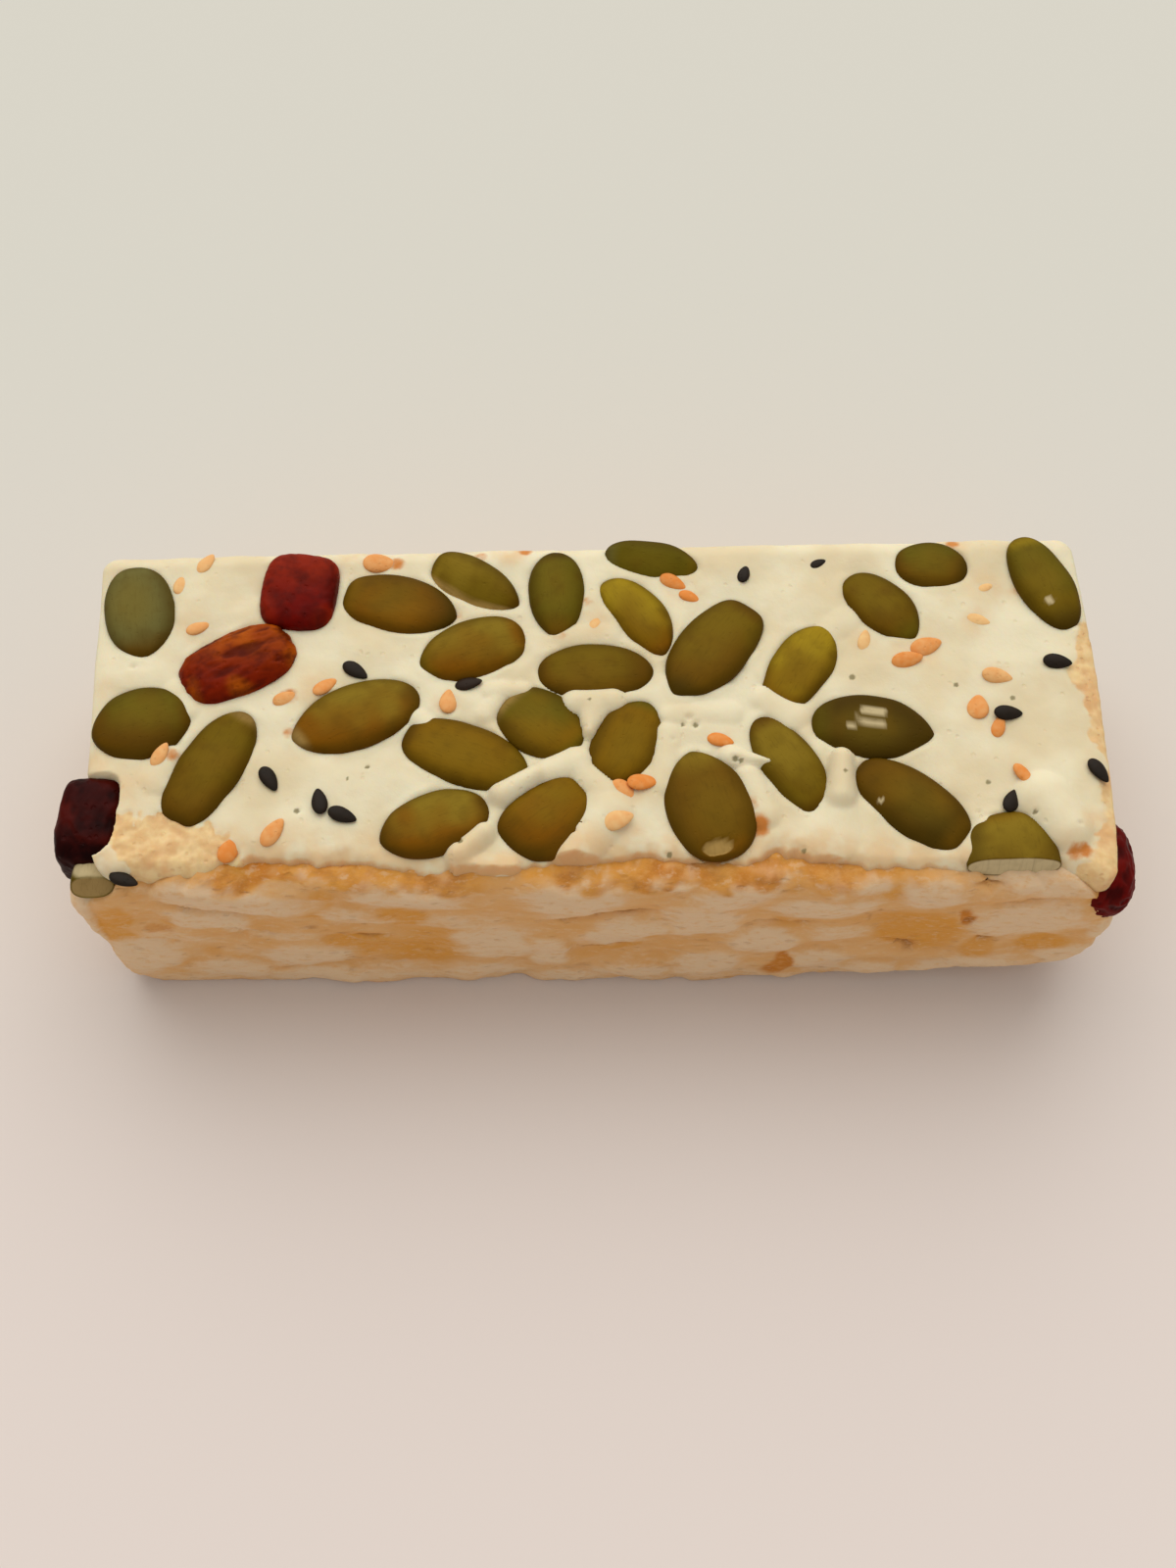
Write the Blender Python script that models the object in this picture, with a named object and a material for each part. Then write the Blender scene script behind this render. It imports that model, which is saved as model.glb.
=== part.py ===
"""A bar of sachima: a pressed block of puffed dough strips under a marshmallow layer, which is set with
pumpkin seeds, raisins and sesame. Metres, +Z up, long side along X, resting on z = 0."""

import math
import random

import bmesh
import bpy
from mathutils import Matrix, Vector, noise

MM = 0.001
GAP = 0.3 * MM

# The bar, cut slightly askew: its two ends and its two long sides aren't quite parallel.
LEFT_END_X = -52.8 * MM
LEFT_END_SKEW = 0.7 * MM
RIGHT_END_X = 52.5 * MM
RIGHT_END_SKEW = 0.2 * MM
RIGHT_END_BOW = 0.8 * MM
HALF_WIDTH = 20.5 * MM
WIDTH_TAPER = 0.031
PLAN_CORNER_RADIUS = 1.8 * MM
RIGHT_END_BELLY = 1.5 * MM

# The dough block.
DOUGH_TOP_Z = 24.2 * MM
DOUGH_TOP_RADIUS = 1.0 * MM
DOUGH_FOOT_RADIUS = 1.3 * MM
LEFT_FOOT_RADIUS = 3.4 * MM
RIGHT_FOOT_RADIUS = 3.2 * MM
FRONT_RIGHT_FOOT_RADIUS = 6.5 * MM
DOUGH_COLUMNS_X = 42
DOUGH_COLUMNS_Y = 16
DOUGH_ROWS = 11
ROW_CROWDING = 1.25
LUMP_LENGTH = 7.0 * MM
LUMP_HEIGHT = 3.2 * MM
LUMP_DEPTH = 0.55 * MM

# The marshmallow layer, set in a shallow rebate behind a lip of dough at the front and right.
LAYER_BOTTOM_Z = 22.3 * MM
LAYER_TOP_Z = 25.3 * MM
LAYER_COLUMNS_X = 32
LAYER_COLUMNS_Y = 13
LAYER_SWELL = 0.25 * MM
LAYER_SWELL_SPACING = 9.0 * MM
RIM_DROP = 0.7 * MM
RIM_WIDTH = 1.6 * MM
LAYER_BACK_INSET = 0.2 * MM
REBATE_BEYOND = 6.0 * MM
SETTLING_TURNS = 5
CORNER_SHARE = 0.01
# Its front edge, as x and y from left to right, and its right edge, as y and x from front to back, in
# millimetres. Past the flush marks, and all along its left and back, it reaches the side of the bar.
LAYER_FRONT_EDGE = (
    (-53, -18.5), (-45, -18.4), (-35, -17.0), (-16, -18.2), (-9, -19.2), (-3, -17.0),
    (10, -17.6), (18, -17.0), (30, -18.2), (37, -18.6), (42, -20.9), (53, -20.9),
)
LAYER_RIGHT_EDGE = (
    (-21, 52.0), (-17, 51.4), (-12, 50.7), (-5, 51.1), (2, 50.2), (9, 51.2), (13, 52.5), (21, 52.3),
)
FLUSH_FRONT_FROM_X = 40.0 * MM
FLUSH_RIGHT_FROM_Y = 12.0 * MM
FLUSH_RIGHT_BELOW_Y = -16.5 * MM

# Pumpkin seeds: centre x and y, length, width, heading of the tip, roll, height of the centre above the
# layer; in millimetres and degrees.
SEED_THICKNESS = 2.3 * MM
SEED_COLUMNS = 8
SEED_ROWS = 6
PUMPKIN_SEEDS = (
    (-49.1, 12.6, 11.8, 7.2, -80, 0, -0.3),
    (-47.4, -1.2, 10.5, 8.0, 197, 0, -0.3),
    (-39.7, -6.4, 14.2, 6.4, 63, 0, -0.2),
    (-20.8, 13.1, 12.6, 6.8, -15, 0, -0.3),
    (-11.8, 16.6, 11.0, 5.4, -30, 22, -0.5),
    (-13.0, 7.3, 11.9, 6.8, 200, 0, -0.2),
    (-3.9, 14.2, 11.2, 5.8, -90, 0, -0.3),
    (-25.1, -0.7, 14.2, 7.4, 203, 0, -0.2),
    (-14.2, -5.4, 13.8, 6.8, -23, 0, -0.3),
    (-5.6, -1.7, 10.0, 6.6, -38, 0, -0.5),
    (-16.6, -13.3, 11.6, 6.8, 200, 0, -0.3),
    (-5.4, -12.8, 10.7, 7.2, 219, 0, -0.3),
    (6.5, 18.6, 10.5, 4.4, -13, 25, -0.5),
    (5.1, 11.6, 10.8, 5.8, -57, 0, -0.4),
    (13.3, 6.6, 14.6, 7.2, 226, 0, -0.1),
    (22.0, 5.1, 11.6, 6.2, 57, 0, -0.5),
    (0.1, 4.4, 12.4, 6.4, 0, 0, -0.4),
    (3.2, -4.0, 10.8, 5.9, 63, 0, -0.6),
    (11.4, -11.6, 12.8, 8.4, 105, 0, -0.1),
    (19.9, -6.7, 12.4, 5.6, 119, 0, -0.5),
    (28.9, -2.8, 12.8, 7.0, -8, 0, -0.2),
    (32.1, -11.6, 13.4, 6.5, 139, 0, -0.3),
    (42.9, -18.4, 11.3, 8.0, -40, 0, -0.2),
    (31.0, 12.1, 10.4, 5.8, -49, 0, -0.4),
    (37.0, 17.5, 8.2, 5.6, -6, 0, -0.5),
    (49.0, 15.0, 12.6, 6.2, -70, 0, -0.1),
    (-50.7, -18.6, 7.0, 4.4, 85, 0, -1.5),
)
# The seeds that the knife went through, and the depth of the cut face.
CUT_SEEDS = (22, 26)
CUT_FACE_Y = -20.9 * MM

# Raisins: centre x, y and z, length, width, height, heading; in millimetres and degrees.
RAISIN_COLUMNS = 12
RAISIN_ROWS = 8
RAISIN_SQUARENESS = 2.6
RAISIN_WRINKLE = 0.35 * MM
RAISINS = (
    (-31.3, 15.1, 25.0, 9.9, 8.2, 4.0, 84),
    (-38.2, 5.7, 25.0, 12.0, 7.3, 4.0, 27),
    (-52.6, -11.4, 20.7, 9.4, 6.9, 7.2, 86),
    (52.3, -16.3, 18.8, 9.9, 6.5, 7.4, 90),
)

# Sesame: centre x and y and heading, for the black seeds and then the toasted white ones.
SESAME_LENGTH = 3.1 * MM
SESAME_WIDTH = 1.9 * MM
SESAME_THICKNESS = 1.1 * MM
SESAME_COLUMNS = 5
SESAME_ROWS = 4
BLACK_SESAME = (
    (-27.3, 5.4, -35), (-33.6, -8.1, -60), (-28.3, -10.7, 100), (-25.6, -12.7, -20), (-46.0, -17.4, -20),
    (16.4, 16.8, 80), (24.2, 17.7, 20), (48.3, 4.6, -10), (43.0, -1.5, 0), (48.6, -8.5, -60),
    (44.6, -10.8, 60), (-14.0, 1.9, 10),
)
WHITE_SESAME = (
    (-41.9, 18.3, 60), (-43.4, 15.3, 80), (-43.3, 9.2, 30), (-30.2, 8.6, 40), (-16.4, 0.6, 85),
    (-34.2, -14.3, 55), (-38.6, -15.3, 60), (-30.2, -15.7, 0), (-25.8, 18.6, 0), (10.1, 14.9, -30),
    (13.4, 13.4, -20), (28.0, 7.4, 80), (35.6, 7.4, 20), (32.8, 5.2, 10), (42.5, 2.9, -15),
    (40.0, -0.3, 80), (40.9, -4.0, 70), (43.9, -7.5, -60), (13.4, -3.4, -20), (5.2, -9.0, 0),
    (2.2, -11.3, -40), (1.6, -15.2, 15), (42.6, 12.6, 30), (40.8, 9.2, -20), (-47.6, 5.2, 60),
    (0.9, 17.0, 70),
)

# Colours as linear red, green and blue, with roughness.
FINISHES = {
    "puffed_dough": ((0.58, 0.34, 0.15), 0.75),
    "marshmallow": ((0.88, 0.80, 0.60), 0.5),
    "pumpkin_seed": ((0.16, 0.13, 0.02), 0.35),
    "raisin": ((0.16, 0.015, 0.005), 0.3),
}


def clear_scene():
    for obj in list(bpy.data.objects):
        bpy.data.objects.remove(obj)


def new_collection(name):
    collection = bpy.data.collections.new(name)
    bpy.context.scene.collection.children.link(collection)
    return collection


def make_material(name):
    colour, roughness = FINISHES[name]
    material = bpy.data.materials.new(name)
    material.use_nodes = True
    shader = material.node_tree.nodes["Principled BSDF"]
    shader.inputs["Base Color"].default_value = (*colour, 1.0)
    shader.inputs["Roughness"].default_value = roughness
    shader.inputs["Metallic"].default_value = 0.0
    return material


def face_outwards(bm):
    bmesh.ops.recalc_face_normals(bm, faces=bm.faces)
    if bm.calc_volume(signed=True) < 0.0:
        bmesh.ops.reverse_faces(bm, faces=bm.faces)


def add_object(name, bm, collection, material=None):
    face_outwards(bm)
    mesh = bpy.data.meshes.new(name)
    bm.to_mesh(mesh)
    bm.free()
    mesh.shade_smooth()
    mesh.set_sharp_from_angle(angle=math.radians(50))
    if material:
        mesh.materials.append(material)
    obj = bpy.data.objects.new(name, mesh)
    collection.objects.link(obj)
    return obj


def mix(start, end, share):
    return start + (end - start) * share


def smooth_step(start, end, value):
    share = min(max((value - start) / (end - start), 0.0), 1.0)
    return share * share * (3.0 - 2.0 * share)


def along_edge(points, position):
    """The edge's second coordinate at a position along the first, eased from point to point."""
    for (start, low), (end, high) in zip(points, points[1:]):
        if position <= end * MM:
            return mix(low, high, smooth_step(start * MM, end * MM, position)) * MM
    return points[-1][1] * MM


# ---- the bar's plan outline ----


def left_end(v):
    return LEFT_END_X - LEFT_END_SKEW * v


def right_end(v):
    return RIGHT_END_X + RIGHT_END_SKEW * v + RIGHT_END_BOW * (1.0 - v * v)


def half_width(u):
    return HALF_WIDTH * (1.0 + WIDTH_TAPER * u)


def plan_point(u, v, inset):
    """A point of the bar's outline for a unit square's u and v, moved in from the edge."""
    half_length = (RIGHT_END_X - LEFT_END_X) / 2.0
    reach = Vector((half_length - inset, HALF_WIDTH - inset, 0.0))
    point = Vector((u * reach.x, v * reach.y, 0.0))
    core = reach - Vector((PLAN_CORNER_RADIUS, PLAN_CORNER_RADIUS, 0.0))
    inner = Vector((min(max(point.x, -core.x), core.x), min(max(point.y, -core.y), core.y), 0.0))
    outward = (point - inner).normalized()
    point = inner + outward * PLAN_CORNER_RADIUS
    along = point.x / half_length
    across = point.y / HALF_WIDTH
    x = mix(left_end(across), right_end(across), (along + 1.0) / 2.0)
    return Vector((x, across * half_width(along), 0.0)), outward


# ---- the dough block ----


def foot_radius(u, v):
    left = smooth_step(-0.9, -1.0, u) * (LEFT_FOOT_RADIUS - DOUGH_FOOT_RADIUS)
    right = smooth_step(0.93, 1.0, u) * (RIGHT_FOOT_RADIUS - DOUGH_FOOT_RADIUS)
    front_right = smooth_step(0.2, 1.0, u) * smooth_step(0.2, -0.9, v) * FRONT_RIGHT_FOOT_RADIUS
    return DOUGH_FOOT_RADIUS + left + right + front_right


def round_inset(height, radius):
    """How far a rounded edge of this radius has drawn in at a height above its foot."""
    short = max(radius - height, 0.0) / radius
    return radius * (1.0 - math.sqrt(1.0 - short * short))


def dough_point(u, v, level):
    z = DOUGH_TOP_Z * level ** ROW_CROWDING
    inset = round_inset(z, foot_radius(u, v)) + round_inset(DOUGH_TOP_Z - z, DOUGH_TOP_RADIUS)
    point, outward = plan_point(u, v, inset)
    belly = RIGHT_END_BELLY * smooth_step(0.9, 1.0, u) * math.sin(math.pi * z / DOUGH_TOP_Z)
    lump = noise.noise(Vector((point.x / LUMP_LENGTH, point.y / LUMP_LENGTH, z / LUMP_HEIGHT)))
    point += outward * (lump * LUMP_DEPTH)
    return Vector((point.x + belly, point.y, z))


def wall_ring():
    """The four sides of a unit cube, cut into the dough's columns and rows."""
    bm = bmesh.new()
    bmesh.ops.create_cube(bm, size=2.0)
    lids = [face for face in bm.faces if abs(face.normal.z) > 0.5]
    bmesh.ops.delete(bm, geom=lids, context="FACES_ONLY")
    for axis, parts in enumerate((DOUGH_COLUMNS_X, DOUGH_COLUMNS_Y, DOUGH_ROWS)):
        edges = [edge for edge in bm.edges if abs((edge.verts[0].co - edge.verts[1].co)[axis]) > 1.0]
        bmesh.ops.subdivide_edges(bm, edges=edges, cuts=parts - 1, use_grid_fill=True)
    return bm


def make_dough(collection, material):
    bm = wall_ring()
    for vert in bm.verts:
        u, v, level = vert.co.x, vert.co.y, (vert.co.z + 1.0) / 2.0
        vert.co = dough_point(u, v, level)
    bmesh.ops.holes_fill(bm, edges=bm.edges, sides=0)
    return add_object("puffed_dough", bm, collection, material)


# ---- the marshmallow layer ----


def layer_plan(share_x, share_y, margin=0.0, beyond=0.0):
    """A point of the layer, for its shares of the way from left to right and from front to back.

    The margin widens it at the lip of dough, and beyond is added where it is flush with the bar.
    The front edge follows x and the right edge follows y, so the point is settled in a few turns."""
    x = mix(LEFT_END_X, RIGHT_END_X, share_x)
    for _ in range(SETTLING_TURNS):
        u = min(max(x / RIGHT_END_X, -1.0), 1.0)
        front = along_edge(LAYER_FRONT_EDGE, x) - margin
        if x > FLUSH_FRONT_FROM_X:
            front -= beyond
        back = half_width(u) - LAYER_BACK_INSET + beyond
        y = mix(front, back, share_y)
        v = y / half_width(u)
        left = left_end(v) + LAYER_BACK_INSET - beyond
        right = along_edge(LAYER_RIGHT_EDGE, y) + margin
        if y > FLUSH_RIGHT_FROM_Y or y < FLUSH_RIGHT_BELOW_Y:
            right += beyond
        x = mix(left, right, share_x)
    return x, y


def layer_top(x, y, edge_distance):
    swell = noise.noise(Vector((x, y, 0.0)) / LAYER_SWELL_SPACING) * LAYER_SWELL
    drop = RIM_DROP * (1.0 - min(edge_distance / RIM_WIDTH, 1.0)) ** 2
    return LAYER_TOP_Z + swell - drop


def round_corner(share_x, share_y, x, y):
    """Draws the layer's four corners in to the bar's rounded ones."""
    if min(share_x, 1.0 - share_x) > CORNER_SHARE or min(share_y, 1.0 - share_y) > CORNER_SHARE:
        return x, y
    draw_in = PLAN_CORNER_RADIUS * (1.0 - math.sqrt(0.5))
    return x - math.copysign(draw_in, share_x - 0.5), y - math.copysign(draw_in, share_y - 0.5)


def make_layer(collection, material):
    bm = bmesh.new()
    bmesh.ops.create_grid(bm, x_segments=LAYER_COLUMNS_X, y_segments=LAYER_COLUMNS_Y, size=1.0)
    shares = {vert: ((vert.co.x + 1.0) / 2.0, (vert.co.y + 1.0) / 2.0) for vert in bm.verts}
    for vert, (share_x, share_y) in shares.items():
        x, y = round_corner(share_x, share_y, *layer_plan(share_x, share_y))
        edge_x = min(share_x, 1.0 - share_x) * (RIGHT_END_X - LEFT_END_X)
        edge_y = min(share_y, 1.0 - share_y) * 2.0 * HALF_WIDTH
        vert.co = (x, y, layer_top(x, y, min(edge_x, edge_y)))
    rim = [edge for edge in bm.edges if edge.is_boundary]
    skirt = bmesh.ops.extrude_edge_only(bm, edges=rim)["geom"]
    for vert in skirt:
        if isinstance(vert, bmesh.types.BMVert):
            vert.co.z = LAYER_BOTTOM_Z
    bmesh.ops.holes_fill(bm, edges=bm.edges, sides=0)
    return add_object("marshmallow_top", bm, collection, material)


def make_rebate_cutter(collection):
    """The space that the layer takes from the dough: a gap wider at the lip, and past the flush sides."""
    bm = bmesh.new()
    bmesh.ops.create_grid(bm, x_segments=LAYER_COLUMNS_X, y_segments=LAYER_COLUMNS_Y, size=1.0)
    for vert in bm.verts:
        share_x, share_y = (vert.co.x + 1.0) / 2.0, (vert.co.y + 1.0) / 2.0
        x, y = layer_plan(share_x, share_y, GAP, REBATE_BEYOND)
        vert.co = (x, y, LAYER_BOTTOM_Z - GAP)
    floor = bmesh.ops.dissolve_faces(bm, faces=bm.faces[:])["region"]
    lifted = bmesh.ops.extrude_face_region(bm, geom=floor)["geom"]
    for vert in lifted:
        if isinstance(vert, bmesh.types.BMVert):
            vert.co.z += REBATE_BEYOND
    return add_object("layer_rebate", bm, collection)


# ---- seeds and raisins ----


def kernel(length, width, thickness, columns, rows):
    """A flat kernel with its tip at +X: blunt at one end, drawn to a point at the other."""
    bm = bmesh.new()
    bmesh.ops.create_uvsphere(bm, u_segments=columns, v_segments=rows, radius=1.0)
    for vert in bm.verts:
        along = vert.co.z
        girth = math.sqrt(max(1.0 - along * along, 0.0))
        point_share = smooth_step(-0.2, 1.0, along)
        breadth = girth ** mix(0.85, 1.25, point_share)
        depth = girth ** 0.8
        turn = math.atan2(vert.co.y, vert.co.x)
        vert.co = (
            along * length / 2.0,
            math.cos(turn) * breadth * width / 2.0,
            math.sin(turn) * depth * thickness / 2.0,
        )
    return bm


def raisin(length, width, height, seed):
    """A puckered pillow, squarer than an ellipsoid."""
    bm = bmesh.new()
    bmesh.ops.create_uvsphere(bm, u_segments=RAISIN_COLUMNS, v_segments=RAISIN_ROWS, radius=1.0)
    draw = random.Random(seed)
    shift = Vector((draw.uniform(0, 9), draw.uniform(0, 9), draw.uniform(0, 9)))
    for vert in bm.verts:
        axis = Vector((vert.co.z, vert.co.x, vert.co.y))
        reach = sum(abs(part) ** RAISIN_SQUARENESS for part in axis) ** (-1.0 / RAISIN_SQUARENESS)
        fold = noise.noise(Vector((axis.x * 0.8, axis.y * 2.2, axis.z * 2.2)) + shift)
        pucker = axis * (fold * RAISIN_WRINKLE)
        vert.co = Vector((axis.x * length, axis.y * width, axis.z * height)) * (reach / 2.0) + pucker
    return bm


def place(bm, x, y, z, heading, roll=0.0):
    turn = Matrix.Rotation(math.radians(heading), 4, "Z") @ Matrix.Rotation(math.radians(roll), 4, "X")
    bm.transform(Matrix.Translation((x, y, z)) @ turn)


def trim_front(bm):
    """Cuts a kernel flat where the knife passed, and closes the cut."""
    plane = Vector((0.0, CUT_FACE_Y, 0.0))
    geom = bm.verts[:] + bm.edges[:] + bm.faces[:]
    bmesh.ops.bisect_plane(bm, geom=geom, plane_co=plane, plane_no=(0.0, -1.0, 0.0), clear_outer=True)
    bmesh.ops.holes_fill(bm, edges=bm.edges, sides=0)


def seed_in_place(row, margin):
    x, y, length, width, heading, roll, lift = row
    extra = 2.0 * margin
    bm = kernel(length * MM + extra, width * MM + extra, SEED_THICKNESS + extra, SEED_COLUMNS, SEED_ROWS)
    place(bm, x * MM, y * MM, LAYER_TOP_Z + lift * MM, heading, roll)
    return bm


def raisin_in_place(index, row, margin):
    x, y, z, length, width, height, heading = row
    extra = 2.0 * margin
    bm = raisin(length * MM + extra, width * MM + extra, height * MM + extra, index)
    place(bm, x * MM, y * MM, z * MM, heading)
    return bm


def make_seeds(collection, cutters, material):
    for index, row in enumerate(PUMPKIN_SEEDS):
        bm = seed_in_place(row, 0.0)
        if index in CUT_SEEDS:
            trim_front(bm)
        add_object(f"pumpkin_seed_{index + 1:02d}", bm, collection, material)
        add_object(f"seed_pocket_{index + 1:02d}", seed_in_place(row, GAP), cutters)


def make_raisins(collection, cutters, material):
    for index, row in enumerate(RAISINS):
        add_object(f"raisin_{index + 1:02d}", raisin_in_place(index, row, 0.0), collection, material)
        add_object(f"raisin_pocket_{index + 1:02d}", raisin_in_place(index, row, GAP), cutters)


def make_sesame(collection):
    for index, (x, y, heading) in enumerate(BLACK_SESAME + WHITE_SESAME):
        bm = kernel(SESAME_LENGTH, SESAME_WIDTH, SESAME_THICKNESS, SESAME_COLUMNS, SESAME_ROWS)
        level = layer_top(x * MM, y * MM, RIM_WIDTH)
        place(bm, x * MM, y * MM, level + 0.05 * MM, heading)
        add_object(f"sesame_{index + 1:02d}", bm, collection)


# ---- joining ----


def apply_boolean(obj, collection, operation):
    modifier = obj.modifiers.new(operation.lower(), "BOOLEAN")
    modifier.operation = operation
    modifier.operand_type = "COLLECTION"
    modifier.collection = collection
    modifier.solver = "EXACT"
    bpy.context.view_layer.update()
    evaluated = obj.evaluated_get(bpy.context.evaluated_depsgraph_get())
    mesh = bpy.data.meshes.new_from_object(evaluated)
    obj.modifiers.remove(modifier)
    obj.data = mesh


def hide_cutters(collection):
    for obj in collection.objects:
        obj.hide_render = True
        obj.display_type = "WIRE"


def main():
    clear_scene()
    materials = {name: make_material(name) for name in FINISHES}
    parts = new_collection("sachima_bar")
    pockets = new_collection("pocket_cutters")
    rebates = new_collection("rebate_cutters")
    sesame = new_collection("sesame_seeds")
    dough = make_dough(parts, materials["puffed_dough"])
    layer = make_layer(parts, materials["marshmallow"])
    make_rebate_cutter(rebates)
    make_seeds(parts, pockets, materials["pumpkin_seed"])
    make_raisins(parts, pockets, materials["raisin"])
    make_sesame(sesame)
    apply_boolean(dough, rebates, "DIFFERENCE")
    apply_boolean(dough, pockets, "DIFFERENCE")
    apply_boolean(layer, sesame, "UNION")
    for seed in list(sesame.objects):
        bpy.data.objects.remove(seed)
    apply_boolean(layer, pockets, "DIFFERENCE")
    hide_cutters(pockets)
    hide_cutters(rebates)


main()
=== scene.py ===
"""The looks of a bar of sachima: puffed dough strips pressed into a block, under a marshmallow layer set with
pumpkin seeds, raisins and sesame. Sizes are in metres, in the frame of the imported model."""

import logging
import math
import random
from dataclasses import dataclass, field
from enum import Enum

import bmesh
import bpy
import numpy as np
from mathutils import Matrix, Vector, noise


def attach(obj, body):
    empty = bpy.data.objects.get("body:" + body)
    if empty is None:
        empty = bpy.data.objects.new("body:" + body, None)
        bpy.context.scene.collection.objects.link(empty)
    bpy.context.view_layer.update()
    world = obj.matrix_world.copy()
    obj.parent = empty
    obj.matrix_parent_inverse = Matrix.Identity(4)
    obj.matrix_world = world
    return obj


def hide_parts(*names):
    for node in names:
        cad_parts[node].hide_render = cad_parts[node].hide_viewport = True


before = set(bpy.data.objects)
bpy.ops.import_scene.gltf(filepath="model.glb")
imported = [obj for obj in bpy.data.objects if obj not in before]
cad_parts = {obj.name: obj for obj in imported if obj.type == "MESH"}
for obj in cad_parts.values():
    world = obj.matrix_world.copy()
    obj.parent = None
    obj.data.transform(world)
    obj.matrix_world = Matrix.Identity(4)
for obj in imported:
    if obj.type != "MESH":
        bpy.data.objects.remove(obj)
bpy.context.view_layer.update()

MM = 0.001
BODY = "root"
LOG = logging.getLogger("sachima")

Array = np.ndarray
Socket = bpy.types.NodeSocket
Piece = bpy.types.Object
Material = bpy.types.Material
Colour = tuple[float, float, float]
Point = tuple[float, float, float]
# The two values between which something eases from 0 to 1, and for some shaders what it eases from and to.
Span = tuple[float, ...]


# ---- numbers and fields ----


def smooth_step(start: float, end: float, value: Array | float) -> Array | float:
    """An eased 0 to 1 between two values, which may run downwards.

    Args:
        start: the value where the step is 0.
        end: the value where the step is 1.
        value: where to read it.

    Returns:
        The eased share, of the same shape as value.
    """
    share = np.clip((value - start) / (end - start), 0.0, 1.0)
    return share * share * (3.0 - 2.0 * share)


def eased_line(points: tuple[tuple[float, float], ...], where: Array) -> Array:
    """Reads a line that is eased from point to point.

    Args:
        points: its points in millimetres, in rising order of the first number.
        where: the places along it, in metres.

    Returns:
        The second number at each place, in metres.
    """
    result = np.full(np.shape(where), points[0][1] * MM)
    for (start, low), (end, high) in zip(points, points[1:]):
        step = smooth_step(start * MM, end * MM, where)
        result = np.where(where > start * MM, (low + (high - low) * step) * MM, result)
    return result


@dataclass(frozen=True)
class Ripple:
    """Smooth unevenness of one size.

    The spacing is the distance over which it changes and the depth what it reaches on either side of 0. Each
    pattern number gives other hills, and a stretch below 1 draws them out along x, y or z.
    """

    spacing: float
    pattern: float = 0.0
    depth: float = 1.0
    stretch: Point = (1.0, 1.0, 1.0)

    def at(self, places: Array, seed: float = 0.0) -> Array:
        """Reads the unevenness.

        Args:
            places: rows of x and y, or of x, y and z.
            seed: added to the pattern number, so that each piece has its own.

        Returns:
            One number for each place.
        """
        solid = places if places.shape[1] == 3 else np.pad(places, ((0, 0), (0, 1)))
        scaled = solid * np.array(self.stretch) / self.spacing + (self.pattern + seed)
        return np.array([noise.noise(Vector(place)) for place in scaled.tolist()]) * self.depth


@dataclass(frozen=True)
class Patches:
    """Soft patches: a ripple eased between two of its values, up to a largest share."""

    ripple: Ripple
    span: Span
    most: float = 1.0

    def at(self, places: Array, seed: float = 0.0) -> Array:
        """How strong the patches are at each place."""
        return smooth_step(*self.span, self.ripple.at(places, seed)) * self.most


def rippled(places: Array, ripples: tuple[Ripple, ...], seed: float = 0.0) -> Array:
    """The sum of several sizes of unevenness at each place."""
    return sum(ripple.at(places, seed) for ripple in ripples)


def linear(red: int, green: int, blue: int) -> Colour:
    """The linear colour of three screen values from 0 to 255."""
    shares = (value / 255.0 for value in (red, green, blue))
    return tuple(s / 12.92 if s <= 0.04045 else ((s + 0.055) / 1.055) ** 2.4 for s in shares)


def blend(first: Array, second: Array, share: Array) -> Array:
    """Mixes two colours, or rows of colours, by a share for each row."""
    return first + (np.asarray(second) - first) * share[:, None]


def far_share(points: Array) -> Array:
    """How far each point of a piece lies from its near side, 0, to its far side, 1."""
    low, high = points[:, 1].min(), points[:, 1].max()
    return (points[:, 1] - low) / (high - low)


def turn_about_z(degrees: float, size: int = 3) -> Array:
    """The matrix that turns plans, or points, counter-clockwise."""
    angle = math.radians(degrees)
    return np.array(Matrix.Rotation(angle, size) if size == 2 else Matrix.Rotation(angle, size, "Z"))


# ---- meshes ----


def square_grid(rows: int, columns: int) -> tuple[Array, Array]:
    """The shares along and across, from -1 to 1, of a grid of points stored row by row."""
    lines = np.linspace(-1.0, 1.0, rows + 1), np.linspace(-1.0, 1.0, columns + 1)
    across, along = np.meshgrid(*lines, indexing="ij")
    return along.reshape(-1), across.reshape(-1)


def grid_faces(rows: int, columns: int, start: int = 0) -> Array:
    """The quads of a grid of points that are stored row by row.

    Args:
        rows: the number of quads from row to row.
        columns: the number of quads along a row.
        start: the index of the grid's first point.

    Returns:
        An array of four indices for each quad, facing up where rows rise in y and columns in x.
    """
    corner = np.arange(rows)[:, None] * (columns + 1) + np.arange(columns)[None, :] + start
    corner = corner.reshape(-1)
    return np.stack([corner, corner + 1, corner + columns + 2, corner + columns + 1], axis=1)


def grid_rim(rows: int, columns: int) -> Array:
    """The indices of a grid's border, counter-clockwise from its first point."""
    width = columns + 1
    front = np.arange(columns)
    right = np.arange(rows) * width + columns
    back = rows * width + np.arange(columns, 0, -1)
    left = np.arange(rows, 0, -1) * width
    return np.concatenate([front, right, back, left])


def ring_faces(rings: list[Array]) -> list[list[int]]:
    """The quads between closed rings of indices, facing out where these run counter-clockwise and rise."""
    pairs = zip(rings, rings[1:])
    walls = [np.stack([low, np.roll(low, -1), np.roll(up, -1), up], axis=1) for low, up in pairs]
    return np.concatenate(walls).tolist()


def link(thing: Piece) -> Piece:
    """Puts an object into the scene."""
    bpy.context.scene.collection.objects.link(thing)
    return thing


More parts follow.
